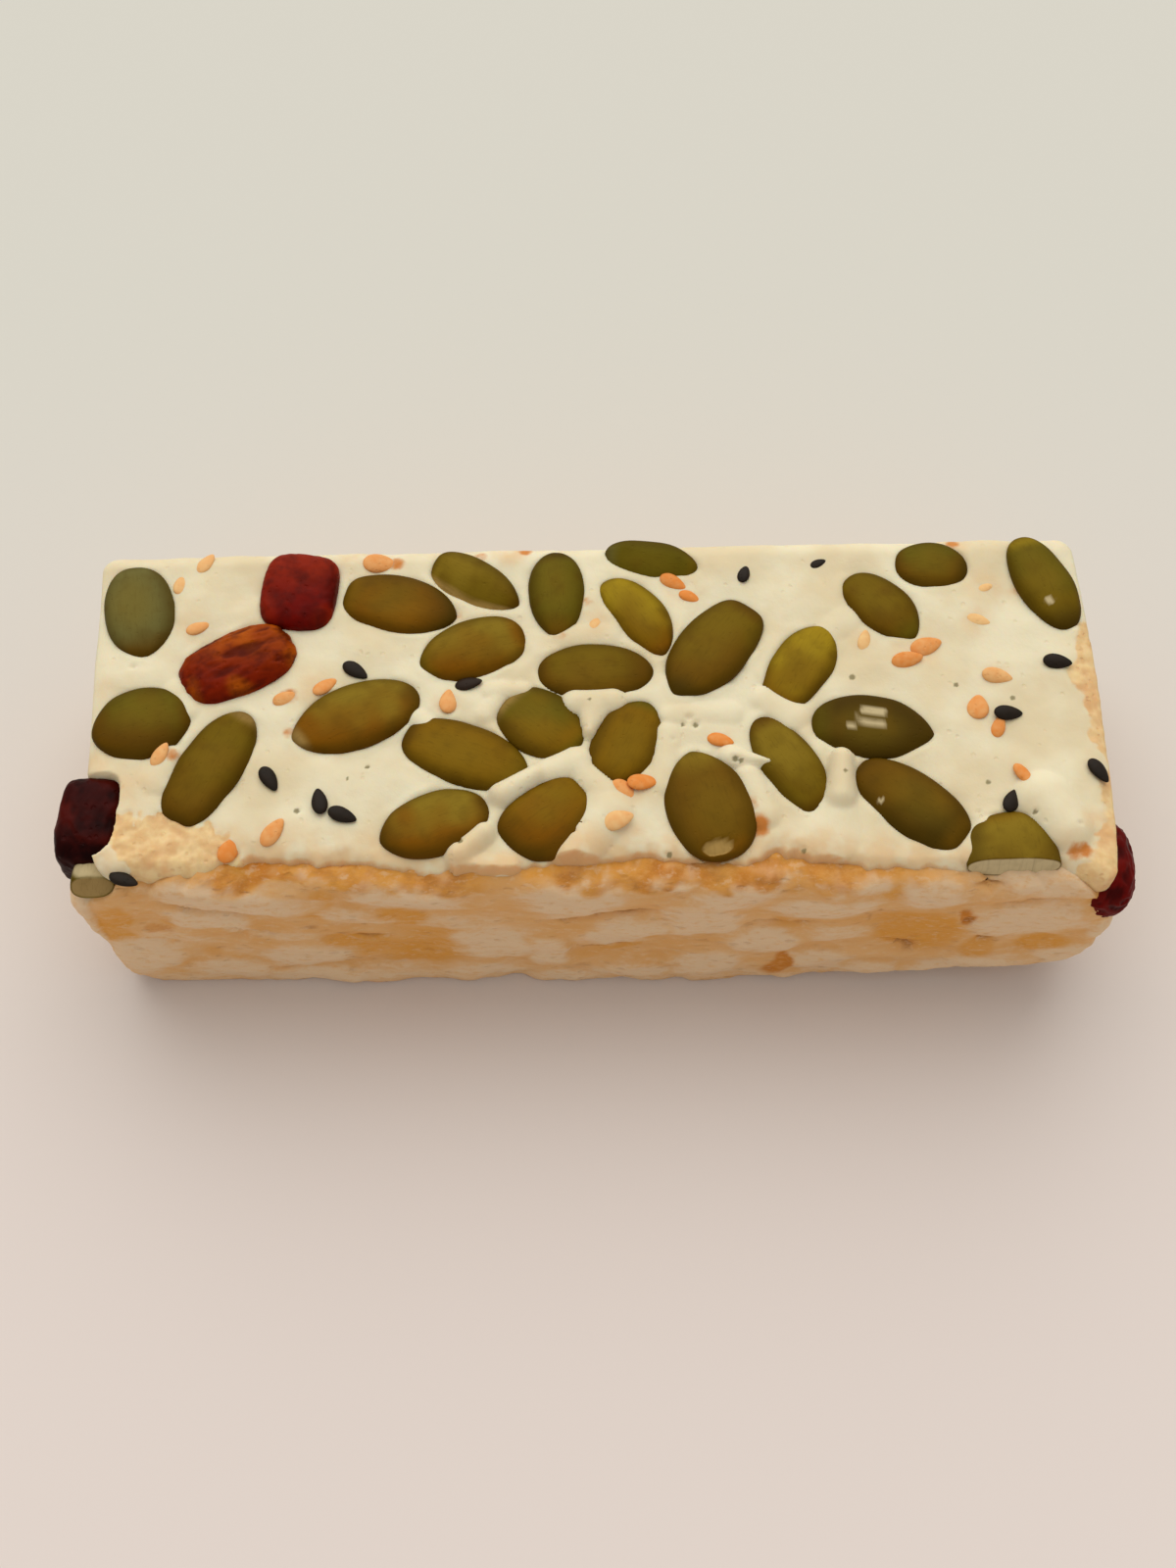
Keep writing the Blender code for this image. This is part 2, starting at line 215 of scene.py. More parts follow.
def new_piece(name: str, points: Array, faces: list, material: Material) -> Piece:
    """Makes a smooth mesh object at the origin.

    Args:
        name: the piece's name.
        points: rows of x, y and z.
        faces: rows of indices, of any length each.
        material: its finish.

    Returns:
        The object, linked to the scene.
    """
    mesh = bpy.data.meshes.new(name)
    mesh.from_pydata(points.tolist(), [], faces)
    mesh.update()
    mesh.shade_smooth()
    mesh.materials.append(material)
    return link(bpy.data.objects.new(name, mesh))


def store_numbers(piece: Piece, name: str, values: Array) -> None:
    """Keeps one number for each point of a piece under a name that its material reads."""
    attribute = piece.data.attributes.new(name, "FLOAT", "POINT")
    attribute.data.foreach_set("value", values.astype(np.float32))


def store_colours(piece: Piece, name: str, colours: Array) -> None:
    """Keeps one linear colour for each point of a piece under a name that its material reads."""
    attribute = piece.data.color_attributes.new(name, "FLOAT_COLOR", "POINT")
    opaque = np.column_stack([np.clip(colours, 0.0, 1.0), np.ones(len(colours))])
    attribute.data.foreach_set("color", opaque.astype(np.float32).reshape(-1))


def finish_piece(piece: Piece, slot: str, *nodes: str) -> None:
    """Rides a piece on the bar, and hides the nodes that it stands for."""
    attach(piece, BODY)
    if nodes:
        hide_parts(*nodes)
    LOG.info("%s: %d faces, for %s", piece.name, len(piece.data.polygons), ", ".join(nodes) or "no node")


def node_points(name: str) -> Array:
    """The distinct corners of a CAD node, as rows of x, y and z."""
    points = np.array([vert.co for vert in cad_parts[name].data.vertices], float)
    return np.unique(np.round(points, 7), axis=0)


# ---- the bar's outline ----


@dataclass(frozen=True)
class BarPlan:
    """The outline of the bar from above, and how far the marshmallow reaches over the dough."""

    left_end: float = -52.8 * MM
    left_skew: float = 0.7 * MM
    right_end: float = 52.5 * MM
    right_skew: float = 0.2 * MM
    right_bow: float = 0.8 * MM
    half_width: float = 20.5 * MM
    taper: float = 0.031
    corner_radius: float = 1.8 * MM
    white_top: float = 25.3 * MM
    white_bottom: float = 22.3 * MM
    lip_top: float = 24.2 * MM
    # The marshmallow's front edge, as x and y, and the line on the right past which the dough shows through
    # it, as y and x, in millimetres. Where the front edge lies outside the bar, it is flush with the cut.
    front_edge: tuple[tuple[float, float], ...] = (
        (-56, -18.3), (-50.6, -18.3), (-48.6, -18.7), (-47.4, -18.6), (-44.0, -18.9), (-40.5, -18.6),
        (-37.5, -17.2), (-34.6, -16.7), (-28.6, -17.2), (-23.0, -17.3), (-19.5, -17.8), (-16.0, -18.5),
        (-13.8, -18.2), (-11.4, -18.4), (-9.1, -18.5), (-7.4, -18.3), (-6.3, -17.8), (-3.0, -16.7),
        (1.0, -17.3), (4.5, -16.6), (9.8, -17.5), (14.0, -17.8), (18.2, -16.7), (22.5, -17.4),
        (27.1, -18.4), (32.4, -18.4), (37.0, -18.9), (38.6, -19.2), (42.0, -18.9), (46.6, -18.9),
        (48.6, -19.6), (50.2, -21.2), (52.0, -25.0), (56, -25.0),
    )
    right_edge: tuple[tuple[float, float], ...] = (
        (-25, 50.2), (-19.5, 50.0), (-17.2, 49.6), (-13.8, 51.4), (-10.3, 52.0), (-5.9, 52.4), (-3.2, 51.8),
        (0.3, 51.0), (3.1, 50.4), (7.3, 51.4), (9.2, 51.8), (12.5, 54.5), (25, 56.0),
    )
    ragged: tuple[Ripple, ...] = (Ripple(2.9 * MM, 0.0, 0.75 * MM), Ripple(1.1 * MM, 4.6, 0.3375 * MM))
    front_pattern: float = 3.1
    right_pattern: float = 13.1
    right_ragged: float = 1.3

    def outline(self, u: Array, v: Array, inset: Array) -> tuple[Array, Array]:
        """Maps the square from -1 to 1 onto the bar's rounded plan.

        Args:
            u: shares along the bar, from the left end to the right.
            v: shares across it, from the front to the back.
            inset: how far each point's outline is drawn in.

        Returns:
            The points as rows of x and y, and for each the outward direction, fading to 0 inside.
        """
        half_length = (self.right_end - self.left_end) / 2.0
        square = np.stack([u * (half_length - inset), v * (self.half_width - inset)], axis=1)
        core = np.stack([half_length - inset, self.half_width - inset], axis=1) - self.corner_radius
        beyond = np.maximum(np.abs(square) - core, 0.0)
        reach = np.hypot(beyond[:, 0], beyond[:, 1])
        rounding = np.where(reach > 0.0, beyond.max(axis=1) / np.maximum(reach, 1e-9), 1.0)
        beyond *= rounding[:, None]
        flat = np.sign(square) * (np.minimum(np.abs(square), core) + beyond)
        outward = np.sign(square) * beyond / self.corner_radius
        along, across = flat[:, 0] / half_length, flat[:, 1] / self.half_width
        left = self.left_end - self.left_skew * across
        right = self.right_end + self.right_skew * across + self.right_bow * (1.0 - across**2)
        x = left + (right - left) * (along + 1.0) / 2.0
        y = across * self.half_width * (1.0 + self.taper * along)
        return np.stack([x, y], axis=1), outward

    def white_reach(self, plan: Array) -> Array:
        """How far behind the marshmallow's front edge each point lies, and below 0 in front of it."""
        edge = eased_line(self.front_edge, plan[:, 0])
        return plan[:, 1] - edge + rippled(plan, self.ragged, self.front_pattern)

    def covered(self, plan: Array) -> Array:
        """How far to the left of the thin right edge each point lies, and below 0 where the dough shows."""
        edge = eased_line(self.right_edge, plan[:, 1])
        return edge - plan[:, 0] + rippled(plan, self.ragged, self.right_pattern) * self.right_ragged


# ---- what lies on the bar ----


@dataclass(frozen=True)
class KernelForm:
    """How a pumpkin kernel's outline differs from an even oval, in shares of its size.

    Its middle line may bend to the left of its heading, either side may be fuller, its fullest place may lie
    towards the tip, and a larger tip makes that end more pointed and a larger blunt number the other end more
    square. The depth is its share of the usual thickness, and the girth sets how round every outline is.
    """

    bend: float = 0.0
    left: float = 1.0
    right: float = 1.0
    fullest: float = 0.0
    tip: float = 0.35
    blunt: float = 0.0
    depth: float = 1.0
    girth: float = 0.87
    tip_span: Span = (-0.2, 1.0)
    blunt_span: Span = (0.2, -1.0)

    def breadth(self, along: Array) -> Array:
        """The half breadth as a share, from -1 at the blunt end to 1 at the tip."""
        past = along - self.fullest
        turned = np.where(past > 0.0, past / (1.0 - self.fullest), past / (1.0 + self.fullest))
        pointed = self.tip * smooth_step(*self.tip_span, turned)
        squared = self.blunt * smooth_step(*self.blunt_span, turned)
        return np.sqrt(np.maximum(1.0 - turned**2, 0.0)) ** (self.girth + pointed - squared)

    def across(self, along: Array, share: Array) -> Array:
        """Where a point lies across the kernel, for its share of the half breadth on either side."""
        side = np.where(share > 0.0, self.left, self.right)
        return share * side * self.breadth(along) + self.bend * (1.0 - along**2)


@dataclass
class KernelPlace:
    """Where a pumpkin seed lies: its centre, the direction of its tip and of its side, and its size."""

    centre: Vector
    tip: Vector
    side: Vector
    length: float
    width: float

    @classmethod
    def measured(cls, node: str) -> "KernelPlace":
        """Works a seed's place out from its CAD node.

        Args:
            node: the node's name.

        Returns:
            The place, with its ends at the node's two furthest corners.
        """
        points = node_points(node)
        gaps = np.linalg.norm(points[:, None] - points[None, :], axis=2)
        first, last = np.unravel_index(np.argmax(gaps), gaps.shape)
        length = gaps[first, last]
        centre = (points[first] + points[last]) / 2.0
        tip = (points[last] - points[first]) / length
        along = (points - centre) @ tip
        radial = points - centre - along[:, None] * tip
        girth = np.linalg.norm(radial, axis=1)
        near_end = np.abs(along) > 0.3 * length
        if girth[near_end & (along > 0.0)].max() > girth[near_end & (along < 0.0)].max():
            tip = -tip
        side = radial[np.argmax(girth)] / girth.max()
        return cls(Vector(centre), Vector(tip), Vector(side), length, 2.0 * girth.max())

    @classmethod
    def stated(cls, whole: tuple[float, float, float, float, float, float]) -> "KernelPlace":
        """A seed's place from its x, y, z, length and width in millimetres and its heading in degrees."""
        x, y, z, length, width, heading = whole
        turn = Matrix.Rotation(math.radians(heading), 3, "Z")
        tip, side = turn @ Vector((1.0, 0.0, 0.0)), turn @ Vector((0.0, 1.0, 0.0))
        return cls(Vector((x, y, z)) * MM, tip, side, length * MM, width * MM)

    def nudged(self, x: float, y: float, stretch: float, turn: float) -> "KernelPlace":
        """The place moved in millimetres, lengthened by a share and turned by some degrees."""
        matrix = Matrix.Rotation(math.radians(turn), 3, "Z")
        centre = self.centre + Vector((x, y, 0.0)) * MM
        return KernelPlace(centre, matrix @ self.tip, matrix @ self.side, self.length * stretch, self.width)

    def matrix(self, roll: float) -> Matrix:
        """The matrix from the kernel's own axes to the bar, broad face up, rolled by some degrees."""
        side = self.side if self.tip.cross(self.side).z > 0.0 else -self.side
        turn = Matrix((self.tip, side, self.tip.cross(side))).transposed()
        rolled = turn @ Matrix.Rotation(math.radians(roll), 3, "X")
        return Matrix.Translation(self.centre) @ rolled.to_4x4()

    def footprint(self, form: KernelForm, growth: float, corners: int = 40) -> Array:
        """The kernel's outline from above, as rows of x and y.

        Args:
            form: its outline's form.
            growth: the share by which its width is grown.
            corners: how many corners each side has.

        Returns:
            The corners in order, counter-clockwise from the tip.
        """
        along = np.cos(np.linspace(0.0, math.pi, corners))
        back = along[-2:0:-1]
        left = np.stack([along, form.across(along, np.ones(len(along)))], axis=1)
        right = np.stack([back, form.across(back, -np.ones(len(back)))], axis=1)
        local = np.concatenate([left, right]) * np.array([self.length, self.width * growth]) / 2.0
        matrix = np.array(self.matrix(0.0))
        return local @ matrix[:2, :2].T + matrix[:2, 3]


def outline_distance(plan: Array, outline: Array, reach: float) -> Array:
    """The distance from each point of a plan to an outline, below 0 inside it.

    Args:
        plan: rows of x and y.
        outline: the corners of a closed outline, in order.
        reach: the distance past which the answer is only known to be larger.

    Returns:
        The distances, cut off at reach.
    """
    result = np.full(len(plan), reach)
    low, high = outline.min(axis=0) - reach, outline.max(axis=0) + reach
    near = np.flatnonzero(((plan > low) & (plan < high)).all(axis=1))
    start, end = outline, np.roll(outline, -1, axis=0)
    side = end - start
    offset = plan[near, None] - start[None]
    share = np.clip((offset * side).sum(axis=2) / (side**2).sum(axis=1), 0.0, 1.0)
    distance = np.linalg.norm(offset - share[..., None] * side, axis=2).min(axis=1)
    x, y = plan[near, 0:1], plan[near, 1:2]
    crosses = (start[:, 1] > y) != (end[:, 1] > y)
    slope = side[:, 0] / np.where(side[:, 1] == 0.0, 1e-12, side[:, 1])
    inside = (crosses & (x < start[:, 0] + (y - start[:, 1]) * slope)).sum(axis=1) % 2 == 1
    result[near] = np.minimum(np.where(inside, -distance, distance), reach)
    return result


# ---- shader building ----


class NodeSheet:
    """A node tree with short ways to add and join nodes."""

    def __init__(self, tree: bpy.types.NodeTree) -> None:
        """Keeps the tree."""
        self.tree = tree

    def add(self, kind: str, inputs: dict | None = None, **settings: object) -> bpy.types.Node:
        """Adds a node.

        Args:
            kind: the node's type name.
            inputs: a value or a socket for each input, by its name or its number.
            settings: the node's own properties, which are set before its inputs.

        Returns:
            The node.
        """
        node = self.tree.nodes.new(kind)
        for key, value in settings.items():
            setattr(node, key, value)
        for key, value in (inputs or {}).items():
            socket = node.inputs[key]
            if isinstance(value, Socket):
                self.tree.links.new(value, socket)
            elif isinstance(value, tuple) and socket.type == "RGBA":
                socket.default_value = (*value, 1.0)
            else:
                socket.default_value = value
        return node

    def math(self, operation: str, *values: object, clamp: bool = False) -> Socket:
        """A Math node's result for numbers or sockets."""
        node = self.add("ShaderNodeMath", dict(enumerate(values)), operation=operation, use_clamp=clamp)
        return node.outputs[0]

    def eased(self, value: object, span: Span) -> Socket:
        """A value eased from the span's first two numbers to 0 and 1, or to its last two."""
        low, high, to_low, to_high = span if len(span) == 4 else (*span, 0.0, 1.0)
        inputs = {"Value": value, "From Min": low, "From Max": high, "To Min": to_low, "To Max": to_high}
        return self.add("ShaderNodeMapRange", inputs, interpolation_type="SMOOTHSTEP").outputs["Result"]

    def mix(self, factor: object, first: object, second: object) -> Socket:
        """A mix of two colours or colour sockets."""
        return self.add("ShaderNodeMix", {0: factor, 6: first, 7: second}, data_type="RGBA").outputs[2]

    def attribute(self, name: str, output: str = "Fac") -> Socket:
        """A piece's own numbers or colours by name."""
        return self.add("ShaderNodeAttribute", attribute_name=name).outputs[output]

    def torn(self, name: str, uneven: Socket, share: float) -> Socket:
        """A piece's own numbers, made uneven by a share of a noise around 0."""
        return self.math("MULTIPLY_ADD", uneven, share, self.attribute(name))

    def noise(self, place: Socket, scale: object, detail: float = 2.0, rough: float = 0.5) -> Socket:
        """Noise from 0 to 1 at a scale in turns for each metre."""
        inputs = {"Vector": place, "Scale": scale, "Detail": detail, "Roughness": rough}
        return self.add("ShaderNodeTexNoise", inputs).outputs[0]


GRAIN_NAME = "food_grain"
GRAIN_DETAIL, PIT_DETAIL = 4.0, 1.0
PIT_WARP = (0.4 * MM,) * 3
PIT_SPAN = (0.42, 0.12)


def grain_group() -> bpy.types.NodeTree:
    """The shader group that all the food's finishes share: mottling, small pits and a fine height.

    Returns:
        The group, with inputs for its scale and the scale and share of its pits, and outputs for a mottle and
        a pit mask from 0 to 1 and for a height.
    """
    found = bpy.data.node_groups.get(GRAIN_NAME)
    if found:
        return found
    group = bpy.data.node_groups.new(GRAIN_NAME, "ShaderNodeTree")
    face = group.interface
    face.new_socket("Vector", in_out="INPUT", socket_type="NodeSocketVector")
    for name in ("Scale", "Pit Scale", "Pit Share"):
        face.new_socket(name, in_out="INPUT", socket_type="NodeSocketFloat")
    for name in ("Mottle", "Pits", "Height"):
        face.new_socket(name, in_out="OUTPUT", socket_type="NodeSocketFloat")
    sheet = NodeSheet(group)
    source = sheet.add("NodeGroupInput").outputs
    mottle = sheet.noise(source["Vector"], source["Scale"], GRAIN_DETAIL)
    uneven = {"Vector": source["Vector"], "Scale": source["Pit Scale"], "Detail": PIT_DETAIL}
    warp = sheet.add("ShaderNodeTexNoise", uneven).outputs[1]
    moved = sheet.add("ShaderNodeVectorMath", {0: warp, 1: PIT_WARP}, operation="MULTIPLY").outputs[0]
    place = sheet.add("ShaderNodeVectorMath", {0: source["Vector"], 1: moved}, operation="ADD").outputs[0]
    cells = sheet.add("ShaderNodeTexVoronoi", {"Vector": place, "Scale": source["Pit Scale"]})
    chance = sheet.add("ShaderNodeSeparateColor", {0: cells.outputs["Color"]}).outputs[0]
    kept = sheet.math("LESS_THAN", chance, source["Pit Share"])
    pits = sheet.math("MULTIPLY", kept, sheet.eased(cells.outputs["Distance"], PIT_SPAN))
    height = sheet.math("SUBTRACT", mottle, pits)
    sheet.add("NodeGroupOutput", {"Mottle": mottle, "Pits": pits, "Height": height})
    return group


@dataclass(frozen=True)
class Grain:
    """A finish's own values for the shared grain: its scale, and the scale and the share of its pits."""

    scale: float
    pit_scale: float
    pit_share: float

    def outputs(self, sheet: NodeSheet, place: Socket) -> bpy.types.NodeOutputs:
        """Places the shared group with these values, and gives its outputs."""
        inputs = {"Vector": place, "Scale": self.scale}
        inputs |= {"Pit Scale": self.pit_scale, "Pit Share": self.pit_share}
        return sheet.add("ShaderNodeGroup", inputs, node_tree=grain_group()).outputs


@dataclass(frozen=True)
class Finish:
    """What every finish has: a name, the values of its Principled shader, its grain and its bump's depth."""

    name: str
    roughness: float = 0.5
    specular: float = 0.3
    subsurface: float = 0.0
    scatter: Colour = (1.0, 0.6, 0.3)
    scatter_depth: float = 1.5 * MM
    grain: Grain = Grain(1500.0, 3000.0, 0.15)
    bump: float = 0.04 * MM

    def start(self) -> tuple[Material, NodeSheet, bpy.types.Node, Socket]:
        """Makes the material with its constants set on the shader's own sockets.

        Returns:
            The material, its sheet, its shader, and the Object coordinates.
        """
        material = bpy.data.materials.new(self.name)
        material.use_nodes = True
        sheet = NodeSheet(material.node_tree)
        shader = material.node_tree.nodes["Principled BSDF"]
        shader.inputs["Roughness"].default_value = self.roughness
        shader.inputs["Specular IOR Level"].default_value = self.specular
        shader.inputs["Subsurface Weight"].default_value = self.subsurface
        shader.inputs["Subsurface Radius"].default_value = self.scatter
        shader.inputs["Subsurface Scale"].default_value = self.scatter_depth
        return material, sheet, shader, sheet.add("ShaderNodeTexCoord").outputs["Object"]

    def close(self, sheet: NodeSheet, shader: bpy.types.Node, colour: Socket, height: Socket) -> None:
        """Joins the colour and the bump to the shader."""
        sheet.tree.links.new(colour, shader.inputs["Base Color"])
        bump = sheet.add("ShaderNodeBump", {"Height": height, "Strength": 1.0, "Distance": self.bump})
        sheet.tree.links.new(bump.outputs["Normal"], shader.inputs["Normal"])


@dataclass(frozen=True)
class MarshmallowFinish(Finish):
    """Cream-white set marshmallow, warmer where it thins out over the dough or lies over what was toasted;
    its peach tint near the front edge and on its cut sides is partly painted shade, and in its small pits
    painted shade.
    """

    white: Colour = linear(230, 218, 184)
    shade: Colour = linear(221, 203, 164)
    blush_and_shade: Colour = linear(222, 190, 144)
    thin: Colour = linear(220, 170, 116)
    showing: Colour = linear(233, 201, 146)
    showing_tan: Colour = linear(221, 180, 124)
    toast: Colour = linear(202, 126, 56)
    fleck: Colour = linear(122, 110, 68)
    grain: Grain = Grain(1100.0, 1300.0, 0.06)
    crumb: Grain = Grain(700.0, 1500.0, 0.16)
    bump: float = 0.05 * MM
    crumb_bump: float = 1.3
    cloud_scale: float = 130.0
    patch_scale: float = 420.0
    stain_scale: float = 330.0
    fine_detail: float = 3.0
    ragged: float = 0.8
    thin_ragged: float = 0.9
    # Shares by which the pits are tinted as painted shade.
    pit_shade_tint: float = 0.2
    crumb_pit_shade_tint: float = 0.5
    cloud_span: Span = (0.35, 0.7)
    patch_span: Span = (0.2, 0.65)
    thin_span: Span = (0.2, 1.0)
    crumb_span: Span = (0.36, 0.68)
    stain_span: Span = (0.46, 0.66, 0.0, 0.75)
    shown_span: Span = (0.2, 0.7)
    toast_span: Span = (0.25, 0.9)
    fleck_span: Span = (0.2, 0.8, 0.0, 0.8)

    def build(self) -> Material:
        """Builds the material from the piece's blush (in part painted shade), thin, showing, toast and fleck
        numbers.
        """
        material, sheet, shader, place = self.start()
        cloud = sheet.eased(sheet.noise(place, self.cloud_scale, self.fine_detail), self.cloud_span)
        colour = sheet.mix(cloud, self.white, self.shade)
        patch = sheet.eased(sheet.noise(place, self.patch_scale), self.patch_span)
        # Peach tint: real tints over what lies beneath, and painted shade near the front edge and on the cut
        # sides.
        colour = sheet.mix(sheet.math("MULTIPLY", sheet.attribute("blush_and_shade"), patch), colour, self.blush_and_shade)
        grain = self.grain.outputs(sheet, place)
        uneven = sheet.math("SUBTRACT", grain["Mottle"], 0.5)
        thin = sheet.torn("thin", uneven, self.thin_ragged)
        colour = sheet.mix(sheet.eased(thin, self.thin_span), colour, self.thin)
        # Painted shade: the small pits are tinted peach.
        colour = sheet.mix(sheet.math("MULTIPLY", grain["Pits"], self.pit_shade_tint), colour, self.blush_and_shade)
        crumb = self.crumb.outputs(sheet, place)
        dough = sheet.mix(sheet.eased(crumb["Mottle"], self.crumb_span), self.showing, self.showing_tan)
        # Painted shade: the pits of the showing dough are darkened.
        dough = sheet.mix(sheet.math("MULTIPLY", crumb["Pits"], self.crumb_pit_shade_tint), dough, self.thin)
        stain = sheet.eased(sheet.noise(place, self.stain_scale, self.fine_detail), self.stain_span)
        dough = sheet.mix(stain, dough, self.thin)
        shown = sheet.eased(sheet.torn("showing", uneven, self.ragged), self.shown_span)
        colour = sheet.mix(shown, colour, dough)
        toast = sheet.torn("toast", uneven, self.ragged)
        colour = sheet.mix(sheet.eased(toast, self.toast_span), colour, self.toast)
        colour = sheet.mix(sheet.eased(sheet.attribute("fleck"), self.fleck_span), colour, self.fleck)
        rough = sheet.math("MULTIPLY", shown, crumb["Height"])
        self.close(sheet, shader, colour, sheet.math("MULTIPLY_ADD", rough, self.crumb_bump, grain["Height"]))
        return material


@dataclass(frozen=True)
class DoughFinish(Finish):
    """Puffed dough strips: pale and porous where cut, tan skin and golden syrup between them, with painted
    shade in the pores.
    """

    tan: Colour = linear(226, 177, 120)
    tan_deep: Colour = linear(221, 164, 98)
    pale: Colour = linear(228, 195, 155)
    gold: Colour = linear(219, 152, 66)
    orange: Colour = linear(200, 124, 44)
    crevice_and_shade: Colour = linear(166, 108, 52)
    pore_shade: Colour = linear(198, 148, 98)
    grain: Grain = Grain(1500.0, 1700.0, 0.17)
    bump: float = 0.09 * MM
    stretch: Point = (0.4, 0.6, 1.0)
    wave: tuple[float, float, float] = (640.0, 6.0, 0.78)
    cloud: tuple[float, float] = (260.0, 3.0)
    fine: tuple[float, float, float] = (1900.0, 3.0, 0.65)
    gold_ragged: float = 1.0
    pale_ragged: float = 2.0
    crust_ragged: float = 0.8
    crevice_ragged: float = 0.9
    pore_shade_tint: float = 0.12
    pale_pore_shade_tint: float = 0.15
    cloud_span: Span = (0.3, 0.7)
    gold_span: Span = (0.2, 0.95)
    pale_span: Span = (-0.1, 0.95)
    crust_span: Span = (0.25, 0.9)
    crevice_span: Span = (0.3, 1.0)
    fine_tan_span: Span = (0.5, 0.72, 0.0, 0.5)
    fine_pale_span: Span = (0.46, 0.3, 0.0, 0.4)

    def build(self) -> Material:
        """Builds the material from the piece's pale, gold, crust and crevice numbers, which carry painted
        light at the foot and painted shade on the upper edge, and darkens the pores as painted shade.

        The wave, cloud and fine fields hold a noise's scale, its detail and, where stated, its roughness.
        """
        material, sheet, shader, place = self.start()
        drawn = sheet.add("ShaderNodeMapping", {"Vector": place, "Scale": self.stretch}).outputs[0]
        wave = sheet.math("SUBTRACT", sheet.noise(drawn, *self.wave), 0.5)
        grain = self.grain.outputs(sheet, drawn)
        cloud = sheet.eased(sheet.noise(drawn, *self.cloud), self.cloud_span)
        colour = sheet.mix(cloud, self.tan, self.tan_deep)
        gold = sheet.torn("gold", wave, self.gold_ragged)
        colour = sheet.mix(sheet.eased(gold, self.gold_span), colour, self.gold)
        pale = sheet.eased(sheet.torn("pale", wave, self.pale_ragged), self.pale_span)
        colour = sheet.mix(pale, colour, self.pale)
        crust = sheet.torn("crust", wave, self.crust_ragged)
        colour = sheet.mix(sheet.eased(crust, self.crust_span), colour, self.orange)
        crevice_and_shade = sheet.torn("crevice_and_shade", wave, self.crevice_ragged)
        colour = sheet.mix(sheet.eased(crevice_and_shade, self.crevice_span), colour, self.crevice_and_shade)
        # Painted shade in the pores.
        pore_shade = sheet.math("MULTIPLY_ADD", pale, self.pale_pore_shade_tint, self.pore_shade_tint)
        colour = sheet.mix(sheet.math("MULTIPLY", grain["Pits"], pore_shade), colour, self.pore_shade)
        fine = sheet.noise(drawn, *self.fine)
        colour = sheet.mix(sheet.eased(fine, self.fine_tan_span), colour, self.tan_deep)
        colour = sheet.mix(sheet.eased(fine, self.fine_pale_span), colour, self.pale)
        self.close(sheet, shader, colour, grain["Height"])
        return material


@dataclass(frozen=True)
class KernelFinish(Finish):
    """The skin of a hulled pumpkin seed: its colours, which carry painted highlight and painted shade, with
    faint lengthwise lines.
    """

    line: Colour = linear(72, 50, 6)
    grain: Grain = Grain(700.0, 2600.0, 0.12)
    bump: float = 0.03 * MM
    line_stretch: Point = (2.2, 14.0, 1.0)
    line_noise: tuple[float, float, float] = (1.0, 3.0, 0.6)
    line_span: Span = (0.5, 0.85, 0.0, 0.35)
    mottle_span: Span = (0.45, 0.8, 0.0, 0.2)
    line_bump: float = 0.8

    def build(self) -> Material:
        """Builds the material from the piece's skin colours and its UV map."""
        material, sheet, shader, place = self.start()
        along = sheet.add("ShaderNodeUVMap", uv_map="kernel").outputs[0]
        drawn = sheet.add("ShaderNodeMapping", {"Vector": along, "Scale": self.line_stretch}).outputs[0]
        lines = sheet.noise(drawn, *self.line_noise)
        colour = sheet.mix(sheet.eased(lines, self.line_span), sheet.attribute("skin", "Color"), self.line)
        grain = self.grain.outputs(sheet, place)
        colour = sheet.mix(sheet.eased(grain["Mottle"], self.mottle_span), colour, self.line)
        self.close(sheet, shader, colour, sheet.math("MULTIPLY_ADD", lines, self.line_bump, grain["Height"]))
        return material


@dataclass(frozen=True)
class RaisinFinish(Finish):
    """Wrinkled raisin skin, deep red with an amber glow where it is thin, and painted shade in its creases.
    """

    deep: Colour = linear(62, 10, 6)
    grain: Grain = Grain(800.0, 1500.0, 0.2)
    bump: float = 0.07 * MM
    mottle_span: Span = (0.4, 0.75, 0.0, 0.55)

    def build(self) -> Material:
        """Builds the material from the piece's skin colours."""
        material, sheet, shader, place = self.start()
        grain = self.grain.outputs(sheet, place)
        mottle = sheet.eased(grain["Mottle"], self.mottle_span)
        colour = sheet.mix(mottle, sheet.attribute("skin", "Color"), self.deep)
        self.close(sheet, shader, colour, grain["Height"])
        return material


@dataclass(frozen=True)
class SesameFinish(Finish):
    """The coat of sesame seeds, each with a tint of its own between two colours."""

    light: Colour = (0.5, 0.5, 0.5)
    dark: Colour = (0.1, 0.1, 0.1)
    ragged: float = 0.7

    def build(self) -> Material:
        """Builds the material between the two colours by each seed's tint number."""
        material, sheet, shader, place = self.start()
        grain = self.grain.outputs(sheet, place)
        uneven = sheet.math("SUBTRACT", grain["Mottle"], 0.5)
        tint = sheet.math("MULTIPLY_ADD", uneven, self.ragged, sheet.attribute("tint"), clamp=True)
        self.close(sheet, shader, sheet.mix(tint, self.light, self.dark), grain["Height"])
        return material


@dataclass(frozen=True)
class FloorFinish(Finish):
    """A plain pale table top."""

    near: Colour = linear(224, 211, 202)
    far: Colour = linear(215, 211, 199)
    depth_span: Span = (-60.0 * MM, 90.0 * MM)

    def build(self) -> Material:
        """Builds the material, which cools a little away from the front."""
        material, sheet, shader, place = self.start()
        across = sheet.add("ShaderNodeSeparateXYZ", {0: place}).outputs[1]
        colour = sheet.mix(sheet.eased(across, self.depth_span), self.near, self.far)
        sheet.tree.links.new(colour, shader.inputs["Base Color"])
        return material


# ---- the dough block ----


@dataclass(frozen=True)
class Strip:
    """A puffed strip where the knife cut it.

    Its place is its middle along the side and its level that above the floor, in mm as its length and height
    are. Its tilt is in degrees, and a share below 1 makes it fainter.
    """

    place: float
    level: float
    length: float
    height: float
    tilt: float = 0.0
    share: float = 1.0


